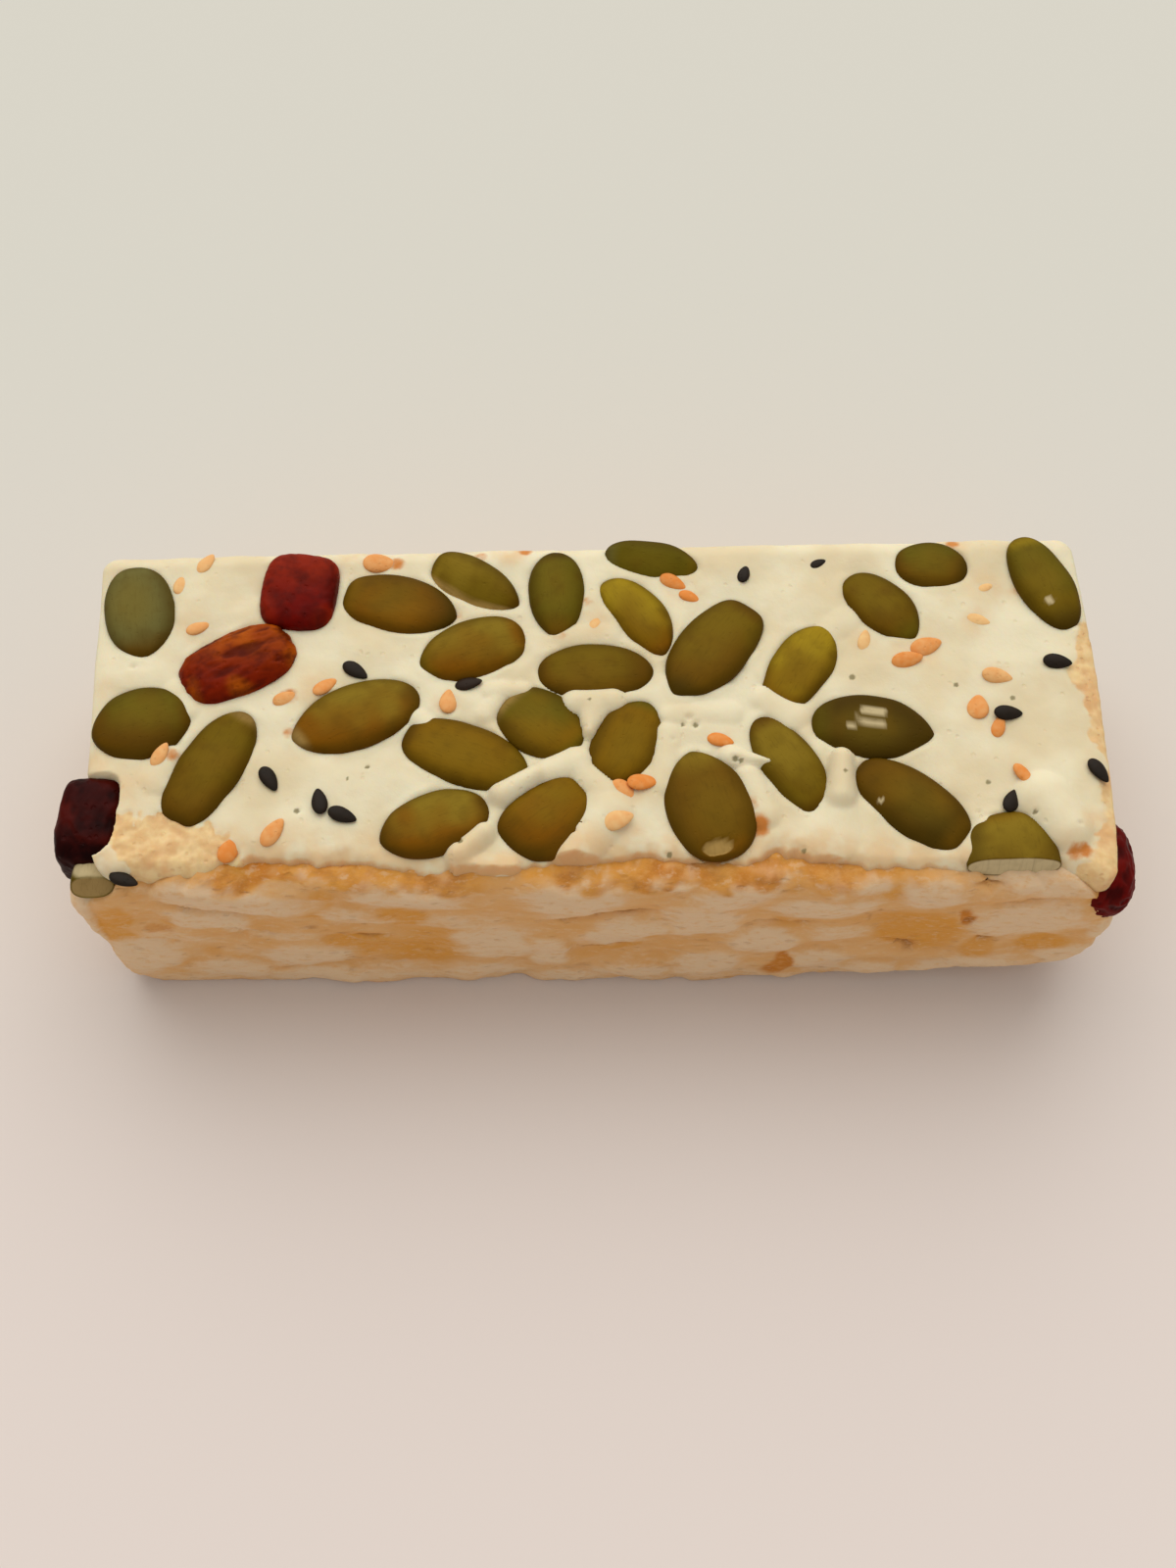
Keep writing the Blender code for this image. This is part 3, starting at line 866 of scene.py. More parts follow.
# The strips that show on the front, from left to right.
FRONT_STRIPS = tuple(Strip(*row) for row in (
    (-49.2, 8.2, 7.4, 8.7, -35), (-40.4, 17.0, 9.0, 3.8, -19), (-38.2, 22.1, 15.7, 5.8, -16),
    (-44.0, 12.6, 7.5, 3.2, -24, 0.6), (-33.4, 13.2, 7.0, 2.6, -10, 0.55), (-31.3, 7.9, 9.6, 5.6),
    (-39.5, 4.6, 8.5, 3.8, -6, 0.75), (-30.0, 2.2, 9.0, 2.6, 0, 0.7), (-19.9, 22.3, 9.8, 5.3, -12),
    (-25.5, 17.6, 8.5, 3.0, -14, 0.6), (-16.0, 16.2, 6.5, 2.8, 6, 0.5), (-21.5, 3.6, 7.0, 3.4, 0, 0.35),
    (-11.2, 11.2, 8.2, 8.0, 10), (-12.2, 3.4, 7.0, 3.0, 4, 0.6), (-5.5, 8.9, 4.4, 6.2),
    (-2.6, 21.7, 10.6, 7.4, 5), (2.6, 13.6, 8.6, 5.8, 14), (3.4, 4.0, 7.5, 3.6, 0, 0.7),
    (-3.6, 2.4, 5.0, 2.6, 0, 0.55), (7.1, 25.9, 4.6, 6.6), (11.0, 16.6, 7.8, 7.2), (11.9, 5.3, 6.6, 5.8),
    (14.1, 21.9, 7.4, 5.0, 16), (17.4, 11.1, 6.2, 5.6), (17.2, 26.7, 4.6, 3.7), (23.2, 19.7, 9.6, 4.0, 9),
    (23.9, 5.8, 5.8, 5.4, 0, 0.85), (25.4, 13.2, 6.4, 3.2, 6, 0.6), (29.6, 3.2, 5.6, 3.2, 4, 0.6),
    (26.6, 24.6, 6.4, 4.5), (33.8, 22.5, 6.0, 5.4), (40.2, 4.6, 12.1, 4.5, 14), (44.6, 16.3, 11.4, 7.4, 7),
    (44.8, 25.4, 12.0, 7.0), (50.6, 7.8, 6.8, 3.8, 18),
))
# Where the front is golden with syrup, where it is toasted to orange, and its dark clefts.
FRONT_GOLD = tuple(Strip(*row) for row in (
    (-50.6, 14.6, 4.4, 12.9), (-43.0, 17.6, 6.0, 3.6), (-18.4, 8.5, 9.4, 8.1), (-24.6, 10.6, 8.4, 5.6),
    (-20.7, 17.4, 7.0, 4.0), (-29.8, 27.6, 9.6, 3.6), (-3.3, 27.4, 12.0, 2.4), (0.3, 28.6, 6.7, 2.7),
    (29.7, 28.2, 12.6, 2.7), (34.1, 13.9, 9.3, 10.4), (46.9, 10.6, 6.8, 3.7),
))
FRONT_CRUST = tuple(Strip(*row) for row in (
    (19.7, 5.1, 3.4, 5.4), (38.6, 17.6, 2.0, 3.4), (-35.0, 29.2, 4.2, 2.4, 0, 0.85),
    (-25.6, 29.6, 1.8, 1.8, 0, 1.0), (-45.6, 15.2, 4.0, 2.2, -20, 0.6), (32.6, 10.4, 1.8, 5.6, 60, 0.6),
    (1.5, 18.2, 8.0, 1.6, 8, 0.5),
))
FRONT_CLEFTS = tuple(Strip(*row) for row in (
    (-23.8, 12.7, 4.6, 1.1, 8), (-39.9, 19.6, 10.0, 0.9, -19), (-36.5, 14.6, 9.0, 0.8, -14, 0.6),
    (0.8, 17.6, 11.0, 0.9, 9), (2.7, 10.6, 2.6, 1.3), (-0.4, 9.4, 2.0, 1.0), (9.6, 28.0, 1.8, 2.4, 30),
    (39.2, 23.2, 1.4, 1.0), (41.2, 11.3, 2.4, 1.7), (33.0, 9.5, 1.4, 3.6, 60),
    (38.8, 17.0, 1.6, 1.6, 0, 0.7), (19.8, 15.0, 9.0, 0.8, 4, 0.6), (44.0, 20.6, 9.0, 0.8, 4, 0.6),
))

# How golden the front's upper edge is along the bar, and so how much painted shade darkens it: x in mm, and 1
# where it is deepest.
LIP_GOLD = (
    (-53, 0.5), (-46, 0.7), (-41, 0.45), (-36, 0.95), (-14, 0.9), (-9, 0.35), (-4, 0.9), (30, 0.8),
    (36, 0.4), (53, 0.35),
)

# Puffed dough is layered along the bar, so most of its unevenness is drawn out sideways.
FLATTENED = (0.5, 0.5, 1.0)
LAYERED = (0.24, 0.24, 1.0)
UPRIGHT = (1.0, 1.0, 0.2)


@dataclass
class PuffedDough:
    """The pressed block of puffed dough strips, up to and under the marshmallow.

    The spans ending in _x or _y are shares along or across the bar, those ending in _z are heights, and the
    others are shares of what they ease.
    """

    plan: BarPlan
    columns: int = 256
    rows: int = 96
    side_rows: int = 62
    side_crowding: float = 1.6
    top_radius: float = 1.3 * MM
    front_radius: float = 2.8 * MM
    front_y: Span = (-0.72, -0.96)
    foot_radius: float = 0.55 * MM
    left_foot: float = 3.4 * MM
    left_x: Span = (-0.9, -1.0)
    right_foot: float = 3.2 * MM
    right_x: Span = (0.93, 1.0)
    corner_foot: float = 6.2 * MM
    corner_x: Span = (0.2, 1.0)
    corner_y: Span = (0.2, -0.9)
    belly: float = 1.5 * MM
    belly_x: Span = (0.9, 1.0)
    left_bulge: float = 1.4 * MM
    bulge_foot_z: Span = (4.0 * MM, 17.0 * MM)
    bulge_top_z: Span = (23.6 * MM, 20.5 * MM)
    bulge_y: Span = (0.2, -0.8)
    lumps: Ripple = Ripple(7.0 * MM, 0.0, 0.55 * MM, (1.0, 1.0, 7.0 / 3.2))
    # The upper edge slopes down in front of the marshmallow over this reach.
    lip_span: Span = (2.16 * MM, 0.9 * MM)
    lip_slope: float = 0.5
    lip_reach: float = 3.4 * MM
    lip_rise: float = 0.3 * MM
    under_white: float = 0.1 * MM
    # Where a cut seed lies open in the corner, and how far the block makes way for it.
    pocket: tuple[float, float] = (-51.2 * MM, -18.6 * MM)
    pocket_span: Span = (3.9 * MM, 2.25 * MM)
    pocket_stretch: float = 1.3
    pocket_depth: float = 2.8 * MM
    # How fast a level on the front rises over its sloping upper edge, in mm.
    over_edge: float = 1.9
    edge_start: float = 0.3
    edge_level: float = 12.0
    squareness: float = 2.4
    # Unevenness of where the strips lie and of how high, in mm.
    pattern_shift: float = 4.0 * MM
    place_ripples: tuple[Ripple, ...] = (Ripple(3.4 * MM, 1.3, 1.4), Ripple(1.5 * MM, 4.0, 0.6))
    level_ripples: tuple[Ripple, ...] = (
        Ripple(2.6 * MM, 5.9, 0.9, FLATTENED), Ripple(1.0 * MM, 8.0, 0.4, FLATTENED),
    )
    pale_fade: float = 0.42
    bulge_fade: float = 0.75
    spot_fade: float = 0.5
    cleft_fade: float = 0.6
    strip_bulge: float = 0.5 * MM
    between: float = 0.2 * MM
    cleft_depth: float = 0.65 * MM
    seam_depth: float = 0.4
    layer_depth: float = 0.12 * MM
    seam_span: Span = (0.35, 0.0)
    seam_patches: Patches = Patches(Ripple(4.1 * MM, 2.2), (0.1, 0.5))
    layers: Ripple = Ripple(1.25 * MM, 2.7, 4.0, LAYERED)
    layer_patches: Patches = Patches(Ripple(4.4 * MM, 17.0), (-0.1, 0.35))
    grain: tuple[Ripple, ...] = (
        Ripple(0.8 * MM, 5.0, 0.07 * MM),
        Ripple(1.6 * MM, 2.0, 0.11 * MM),
        Ripple(0.9 * MM, 22.0, 0.14 * MM, LAYERED),
    )
    rounded_share: float = 0.7
    crumbs: tuple[Ripple, ...] = (Ripple(1.1 * MM, 61.0, 0.3 * MM), Ripple(0.55 * MM, 65.0, 0.18 * MM))
    crumb_z: Span = (20.6 * MM, 22.6 * MM)
    side_crumbs: float = 0.4
    ruff: Ripple = Ripple(2.6 * MM, 31.0, 0.3 * MM, UPRIGHT)
    ruff_span: Span = (0.14, 0.0)
    # How golden, crusted, pale and dark the surface is, with painted shade on the upper edge and painted
    # light at the foot.
    gold_patches: Patches = Patches(Ripple(5.3 * MM, 9.1), (0.0, 0.6), 0.8)
    crust_patches: Patches = Patches(Ripple(3.7 * MM, 6.6), (0.5, 0.8), 0.5)
    seam_dark: float = 0.3
    layer_dark: float = 0.62
    pale_layer_dark: float = 0.3
    lip_wave: Ripple = Ripple(2.6 * MM, 50.0, 1.6 * MM)
    lip_z: Span = (21.9 * MM, 23.7 * MM)
    lip_crust: float = 0.5
    lip_crust_ripple: Ripple = Ripple(2.2 * MM, 40.0, 0.5)
    speckles: tuple[Ripple, ...] = (Ripple(1.3 * MM, 71.0), Ripple(0.6 * MM, 75.0, 0.4))
    lip_fade: float = 0.6
    lip_speckle: float = 0.7
    lip_shade: float = 0.05
    # The upper edge is darkened, partly as toasted crust and partly as painted shade.
    lip_crust_shade: float = 0.45
    lip_crust_shade_speckle: float = 0.35
    # Painted light: the foot of the sides is lightened towards the pale colour, against the shade where the
    # bar meets the floor.
    foot_painted_light: float = 0.55
    foot_light_z: Span = (6.0 * MM, 0.5 * MM)
    seed: int = 11

    def side_strips(self) -> tuple[Strip, ...]:
        """Strips for the right end, the back and the left end, laid like rough courses by a seeded rule."""
        draw = random.Random(self.seed)
        plan = self.plan
        front_end = plan.right_end / MM
        last = front_end + 4.0 * plan.half_width / MM + (plan.right_end - plan.left_end) / MM
        strips = []
        level, top_course = 2.2, 24.0
        while level < top_course:
            place = front_end + draw.uniform(-1.0, 4.0)
            while place < last:
                length = draw.uniform(4.5, 11.5)
                height = draw.uniform(3.0, 5.6)
                tilt = draw.uniform(-16.0, 16.0)
                lift = draw.uniform(-0.9, 0.9)
                share = draw.choice((0.6, 0.85, 1.0, 1.0))
                strips.append(Strip(place + length / 2.0, level + lift, length, height, tilt, share))
                place += length + draw.uniform(0.2, 2.2)
            level += draw.uniform(3.6, 4.5)
        return tuple(strips)

    def foot(self, u: Array, v: Array) -> Array:
        """The radius of the lower edge, which is larger at both ends and most at the front right."""
        left = smooth_step(*self.left_x, u) * (self.left_foot - self.foot_radius)
        right = smooth_step(*self.right_x, u) * (self.right_foot - self.foot_radius)
        corner = smooth_step(*self.corner_x, u) * smooth_step(*self.corner_y, v) * self.corner_foot
        return self.foot_radius + left + right + corner

    @staticmethod
    def round_inset(height: Array, radius: Array) -> Array:
        """How far a rounded edge has drawn in at a height above its foot."""
        short = np.clip(radius - height, 0.0, radius) / radius
        return radius * (1.0 - np.sqrt(1.0 - short**2))

    def top_height(self, plan: Array) -> Array:
        """The block's top: it slopes down in front of the marshmallow's edge, and is lower under it."""
        reach = self.plan.white_reach(plan)
        low = self.plan.white_bottom - self.under_white
        slope = self.plan.lip_top + self.lip_rise + np.clip(reach, -self.lip_reach, 0.0) * self.lip_slope
        top = low + (slope - low) * smooth_step(*self.lip_span, reach)
        near = np.hypot(plan[:, 0] - self.pocket[0], (plan[:, 1] - self.pocket[1]) * self.pocket_stretch)
        return top - self.pocket_depth * smooth_step(*self.pocket_span, near)

    def body(self, u: Array, v: Array, level: Array) -> tuple[Array, Array]:
        """The block's points for shares along, across and up it, with the outward direction of each."""
        radius = self.top_radius + (self.front_radius - self.top_radius) * smooth_step(*self.front_y, v)
        rough_plan, _ = self.plan.outline(u, v, radius)
        top = self.top_height(rough_plan)
        z = top * level
        inset = self.round_inset(z, self.foot(u, v)) + self.round_inset(top - z, radius)
        plan, outward = self.plan.outline(u, v, inset)
        points = np.column_stack([plan, z])
        points[:, :2] += outward * self.lumps.at(points)[:, None]
        belly = np.sin(math.pi * np.clip(z / self.plan.lip_top, 0.0, 1.0))
        points[:, 0] += self.belly * smooth_step(*self.belly_x, u) * belly
        bulge = self.left_bulge * smooth_step(*self.bulge_foot_z, z) * smooth_step(*self.bulge_top_z, z)
        points[:, 0] -= bulge * smooth_step(*self.bulge_y, v) * smooth_step(*self.left_x, u)
        return points, outward

    def side_place(self, points: Array) -> tuple[Array, Array]:
        """Where each point lies round the sides, from x = 0 at the front, and its level, in mm."""
        plan = self.plan
        x, y, level = (points / MM).T
        right, left, half = plan.right_end / MM, plan.left_end / MM, plan.half_width / MM
        gaps = np.stack([y + half, right - x, half - y, x - left])
        side = np.argmin(gaps, axis=0)
        back, turned = 2.0 * (right + half) - x, 2.0 * right - left + 3.0 * half - y
        along = np.choose(side, [x, right + y + half, back, turned])
        inward = np.maximum(np.choose(side, gaps) - self.edge_start, 0.0)
        return along, level + inward * np.where(side == 0, self.over_edge, 1.0) * (level > self.edge_level)

    def strip_field(self, strips: tuple[Strip, ...], place: Array, level: Array, soft: float) -> Array:
        """How far each point is inside the nearest strip, from 0 to 1.

        Args:
            strips: the strips.
            place: where each point lies along the side, in mm.
            level: and up it.
            soft: the share of a strip's size over which it fades.

        Returns:
            One number for each point.
        """
        result = np.zeros(len(place))
        for strip in strips:
            near = np.flatnonzero(np.abs(place - strip.place) < strip.length)
            turn = math.radians(strip.tilt)
            dx, dy = place[near] - strip.place, level[near] - strip.level
            along = (dx * math.cos(turn) + dy * math.sin(turn)) / (strip.length / 2.0)
            across = (dy * math.cos(turn) - dx * math.sin(turn)) / (strip.height / 2.0)
            power = self.squareness
            size = (np.abs(along) ** power + np.abs(across) ** power) ** (1.0 / power)
            inside = smooth_step(1.0 + soft, 1.0 - soft, size) * strip.share
            result[near] = np.maximum(result[near], inside)
        return result

    def build(self, material: Material) -> Piece:
        """Builds the block with its relief and the numbers that its material reads.

        Args:
            material: its finish.

        Returns:
            The piece, which stands for the CAD block.
        """
        u, v = square_grid(self.rows, self.columns)
        rim = grid_rim(self.rows, self.columns)
        lid, around = len(u), len(rim)
        levels = 1.0 - (1.0 - np.linspace(0.0, 1.0, self.side_rows + 1)[1:-1]) ** self.side_crowding
        all_u = np.concatenate([u, u, np.tile(u[rim], len(levels))])
        all_v = np.concatenate([v, v, np.tile(v[rim], len(levels))])
        level = np.concatenate([np.zeros(lid), np.ones(lid), np.repeat(levels, around)])
        points, outward = self.body(all_u, all_v, level)
        faces = grid_faces(self.rows, self.columns)[:, ::-1].tolist()
        faces += grid_faces(self.rows, self.columns, lid).tolist()
        between = [2 * lid + index * around + np.arange(around) for index in range(len(levels))]
        faces += ring_faces([rim, *between, rim + lid])
        points, fields = self.relief(points, outward, level)
        piece = new_piece("dough_block", points, faces, material)
        for name, values in fields.items():
            store_numbers(piece, name, values)
        finish_piece(piece, "puffed_dough", "puffed_dough")
        return piece

    def relief(self, points: Array, outward: Array, level: Array) -> tuple[Array, dict[str, Array]]:
        """Raises the strips and sinks the clefts.

        Args:
            points: the block's points.
            outward: the outward direction of each.
            level: 0 on the floor to 1 on the top.

        Returns:
            The moved points, and the numbers that the material reads, by their names.
        """
        place, height = self.side_place(points)
        shifted = points + self.pattern_shift
        place = place + rippled(shifted, self.place_ripples)
        height = height + rippled(points, self.level_ripples)
        strips = FRONT_STRIPS + self.side_strips()
        bulge = self.strip_field(strips, place, height, self.bulge_fade)
        cleft = self.strip_field(FRONT_CLEFTS, place, height, self.cleft_fade)
        seams = smooth_step(*self.seam_span, bulge) * self.seam_patches.at(shifted)
        layers = np.clip(1.0 - np.abs(self.layers.at(points)), 0.0, 1.0) * self.layer_patches.at(shifted)
        push = bulge * self.strip_bulge - self.between + rippled(points, self.grain)
        push -= np.maximum(cleft, seams * self.seam_depth) * self.cleft_depth + layers * self.layer_depth
        ruff = (level > 0.0) * smooth_step(*self.ruff_span, level) * self.ruff.at(points)
        on_top = level == 1.0
        moved = points.copy()
        moved[:, :2] += outward * (push + ruff)[:, None]
        moved[:, 2] += on_top * push * (1.0 - np.linalg.norm(outward, axis=1) * self.rounded_share)
        high = smooth_step(*self.crumb_z, points[:, 2])
        moved[:, 2] += rippled(points, self.crumbs) * high * np.where(on_top, 1.0, self.side_crumbs)
        pale = self.strip_field(strips, place, height, self.pale_fade)
        gold = self.strip_field(FRONT_GOLD, place, height, self.spot_fade)
        gold = np.maximum(gold, self.gold_patches.at(shifted) * (1.0 - pale))
        crust = self.strip_field(FRONT_CRUST, place, height, self.spot_fade)
        crust = np.maximum(crust, self.crust_patches.at(shifted) * (1.0 - pale))
        crevice_and_shade = np.maximum(cleft, seams * self.seam_dark)
        crevice_and_shade = np.maximum(crevice_and_shade, layers * (self.layer_dark - self.pale_layer_dark * pale))
        fields = {"pale": pale, "gold": gold, "crust": crust, "crevice_and_shade": crevice_and_shade}
        return moved, self.tints(points, shifted, fields)

    def tints(self, points: Array, shifted: Array, fields: dict[str, Array]) -> dict[str, Array]:
        """Bakes the upper edge golden with pale speckles and darkens it, partly as toasted crust and partly
        as painted shade, and lightens the foot as painted light.

        Args:
            points: the block's points.
            shifted: the same points where the patterns are read.
            fields: how pale, golden, crusted and dark each point is by its strips.

        Returns:
            The same numbers with the edge and the foot on them.
        """
        edge = smooth_step(*self.lip_z, points[:, 2] + self.lip_wave.at(shifted))
        lip = edge * eased_line(LIP_GOLD, points[:, 0]) / MM
        speckle = rippled(points, self.speckles)
        # Painted light: the foot is lightened.
        foot = smooth_step(*self.foot_light_z, points[:, 2]) * self.foot_painted_light
        pale = fields["pale"] * (1.0 - self.lip_fade * lip)
        pale += lip * (speckle * self.lip_speckle - self.lip_shade)
        crust = lip * (self.lip_crust + self.lip_crust_ripple.at(shifted))
        # Darkens the upper edge: partly toasted crust, partly painted shade.
        dark = lip * (self.lip_crust_shade - self.lip_crust_shade_speckle * speckle)
        return {
            "pale": np.clip(np.clip(pale, 0.0, 1.0) + foot, 0.0, 1.0),
            "gold": np.maximum(fields["gold"], lip),
            "crust": np.maximum(fields["crust"], crust),
            "crevice_and_shade": np.maximum(fields["crevice_and_shade"], dark),
        }


# ---- the marshmallow ----


@dataclass(frozen=True)
class Fold:
    """A rounded finger or blob of marshmallow that runs up over its neighbours.

    It runs from x and y to end_x and end_y, in millimetres as its radius, its rise and its last radius are.
    """

    x: float
    y: float
    end_x: float
    end_y: float
    radius: float
    rise: float = 0.0
    end_radius: float | None = None

    def distance(self, plan: Array) -> Array:
        """The distance of each place from the middle line, as a share of the radius there."""
        start, end = np.array([self.x, self.y]) * MM, np.array([self.end_x, self.end_y]) * MM
        side = end - start
        share = np.clip(((plan - start) @ side) / (side @ side), 0.0, 1.0)
        last = self.radius if self.end_radius is None else self.end_radius
        radius = (self.radius + (last - self.radius) * share) * MM
        return np.linalg.norm(plan - start - share[:, None] * side, axis=1) / radius


FOLDS = tuple(Fold(*row) for row in (
    (-1.9, 0.7, 1.7, 0.8, 1.8, 1.2), (-0.2, 0.0, -0.7, -2.9, 2.2, 1.15, 0.9),
    (25.3, -6.6, 24.9, -10.8, 1.5, 1.8, 1.8), (24.9, -10.5, 24.0, -15.0, 1.9, 0.7, 3.0),
    (-9.7, -10.2, -6.2, -8.0, 1.6, 1.6, 1.3), (-6.2, -8.0, -2.2, -6.4, 1.4, 1.1, 2.0),
    (-14.0, -16.8, -11.6, -14.6, 1.5, 1.4, 1.4), (-13.4, -18.0, -9.4, -18.4, 1.5, 0.55, 1.6),
    (45.7, -11.2, 47.6, -14.7, 3.3, 1.8, 2.9), (13.9, -6.0, 17.8, -6.9, 1.5, 1.1, 0.5),
    (15.6, -8.2, 17.0, -12.6, 1.5, 0.95, 1.9), (-1.8, -7.2, 0.8, -10.2, 1.6, 0.9, 1.9),
    (1.2, -12.2, -2.4, -17.0, 2.8, 1.3, 2.1), (0.2, -10.2, -0.8, -13.4, 1.5, 0.75, 1.9),
    (7.5, -3.0, 6.9, -9.0, 1.4, 0.6, 1.6), (-9.8, 2.4, -11.6, -0.6, 1.3, 0.7, 1.3),
    (17.6, 1.0, 20.6, -1.2, 1.6, 0.75, 2.0), (-11.0, 2.2, -7.6, 2.3, 1.3, 0.75, 1.1),
    (-18.6, -0.9, -17.2, -2.2, 1.2, 0.65, 1.2), (-44.2, -5.0, -45.4, -8.0, 1.3, 0.7, 1.9),
    (-42.4, 0.4, -43.8, 2.6, 1.3, 0.55, 1.8), (7.8, -0.9, 14.0, -0.7, 1.3, 0.6, 1.6),
    (-3.2, 8.8, 1.4, 9.2, 1.6, 0.55, 1.7), (24.6, 8.6, 26.8, 10.6, 1.6, 0.5, 2.0),
    (39.6, -14.6, 38.2, -17.2, 1.5, 0.75, 1.8),
))

# Bubbles that burst in the marshmallow: x, y and radius in millimetres.
BUBBLES = (
    (10.4, -2.3, 0.55), (9.1, -2.2, 0.4), (9.8, -1.4, 0.5), (14.3, -6.6, 0.45), (14.8, -6.7, 0.35),
    (-13.9, -15.8, 0.45), (-2.5, -14.6, 0.4), (-1.5, -13.8, 0.35), (44.4, -13.3, 0.4), (34.8, -9.9, 0.35),
    (48.7, -14.8, 0.35), (20.7, -16.6, 0.35), (6.9, -17.0, 0.4), (-23.6, -6.8, 0.3), (8.0, -4.0, 0.3),
    (-30.5, -11.8, 0.4), (-48.8, 5.6, 0.4), (38.8, -12.9, 0.3),
)

# Flecks of seed skin in the marshmallow: x, y and radius in millimetres, and how much.
FLECKS = (
    (10.4, -2.3, 0.42, 1.0), (43.8, 0.4, 0.42, 1.0), (27.2, 3.3, 0.5, 1.0), (-0.6, 0.5, 0.32, 1.0),
    (9.1, -2.2, 0.3, 1.0), (44.4, -13.3, 0.36, 1.0), (3.0, -13.4, 0.3, 1.0), (-2.5, -14.6, 0.34, 1.0),
    (-13.9, -15.8, 0.4, 1.0), (14.3, -6.6, 0.45, 1.0), (14.9, -6.8, 0.36, 1.0), (-30.6, -11.8, 0.45, 1.0),
    (-23.6, -6.8, 0.34, 1.0), (34.8, -9.9, 0.28, 1.0), (25.4, -8.6, 0.36, 1.0), (38.1, 2.2, 0.4, 1.0),
    (40.2, -9.4, 0.4, 1.0), (7.2, -17.0, 0.4, 1.0), (20.8, -16.8, 0.36, 1.0), (-25.6, -8.2, 0.26, 1.0),
    (8.2, -12.4, 0.26, 1.0),
)

# Where the marshmallow is tinted by what lies in or under it, of the same kind.
BLUSHES = (
    (-48.0, -9.4, 3.6, 0.6), (-37.6, -15.6, 3.0, 0.9), (-46.6, -17.6, 2.6, 0.9), (-52.0, -6.0, 2.2, 0.7),
    (-51.6, 3.0, 2.0, 0.4), (-25.0, 18.9, 3.2, 0.8), (-9.0, 19.9, 2.4, 0.9), (-42.6, 10.6, 2.6, 0.5),
    (-29.6, 2.8, 2.4, 0.7), (42.7, 14.6, 3.0, 0.55), (41.1, 10.2, 2.4, 0.7), (45.9, 13.6, 1.8, 0.9),
    (34.2, 6.2, 3.2, 0.5), (28.6, 7.8, 1.8, 0.5), (42.4, 3.1, 2.2, 0.4), (40.4, -1.6, 2.6, 0.4),
    (9.6, 14.8, 2.6, 0.5), (7.6, 10.0, 2.4, 0.3), (0.2, 10.4, 2.4, 0.55), (12.9, -4.0, 1.8, 0.4),
    (3.6, -9.8, 2.4, 0.6), (2.0, -13.8, 2.4, 0.4), (-15.6, 0.8, 1.8, 0.5), (-31.0, -15.6, 4.0, 0.5),
    (50.8, -14.0, 2.0, 0.9), (49.0, -18.4, 2.2, 0.9), (39.6, 20.2, 2.0, 0.8), (22.0, -1.4, 3.0, 0.2),
    (7.6, -16.2, 1.6, 0.8), (15.0, -15.2, 1.4, 0.8),
)

# Toasted spots, of the same kind.
TOASTED = (
    (-34.6, -18.3, 1.3, 1.0), (-25.4, -18.7, 1.0, 1.0), (49.0, -17.4, 1.2, 0.9), (-7.3, 20.1, 1.1, 0.9),
    (-12.2, 19.3, 1.2, 0.6), (39.6, 20.4, 1.2, 0.9), (45.9, 14.1, 1.0, 0.5), (-36.0, -17.6, 1.0, 0.5),
    (-48.9, -8.8, 1.2, 0.4), (-21.3, 18.6, 1.3, 0.8), (16.3, -14.1, 1.7, 0.95), (15.6, -11.6, 1.5, 0.6),
    (-32.2, 1.8, 1.5, 0.7), (48.1, -17.6, 1.3, 0.8), (-0.7, 13.1, 1.2, 0.5), (-14.7, 11.9, 1.3, 0.5),
    (-31.9, -2.6, 1.2, 0.6), (-43.8, -5.1, 1.3, 0.7), (-3.6, 8.9, 1.3, 0.45),
)

# Where puffed dough shows through: centre x and y, half length and half width in millimetres, and how much.
SHOWING = (
    (-43.4, -15.4, 5.6, 4.0, 1.0), (-39.6, -17.0, 3.6, 2.6, 1.0), (-48.6, -13.6, 2.0, 2.4, 0.7),
    (-34.6, -18.0, 2.4, 1.2, 0.9), (52.4, -17.8, 2.4, 4.2, 0.9), (49.8, -19.8, 2.2, 1.4, 0.9),
)


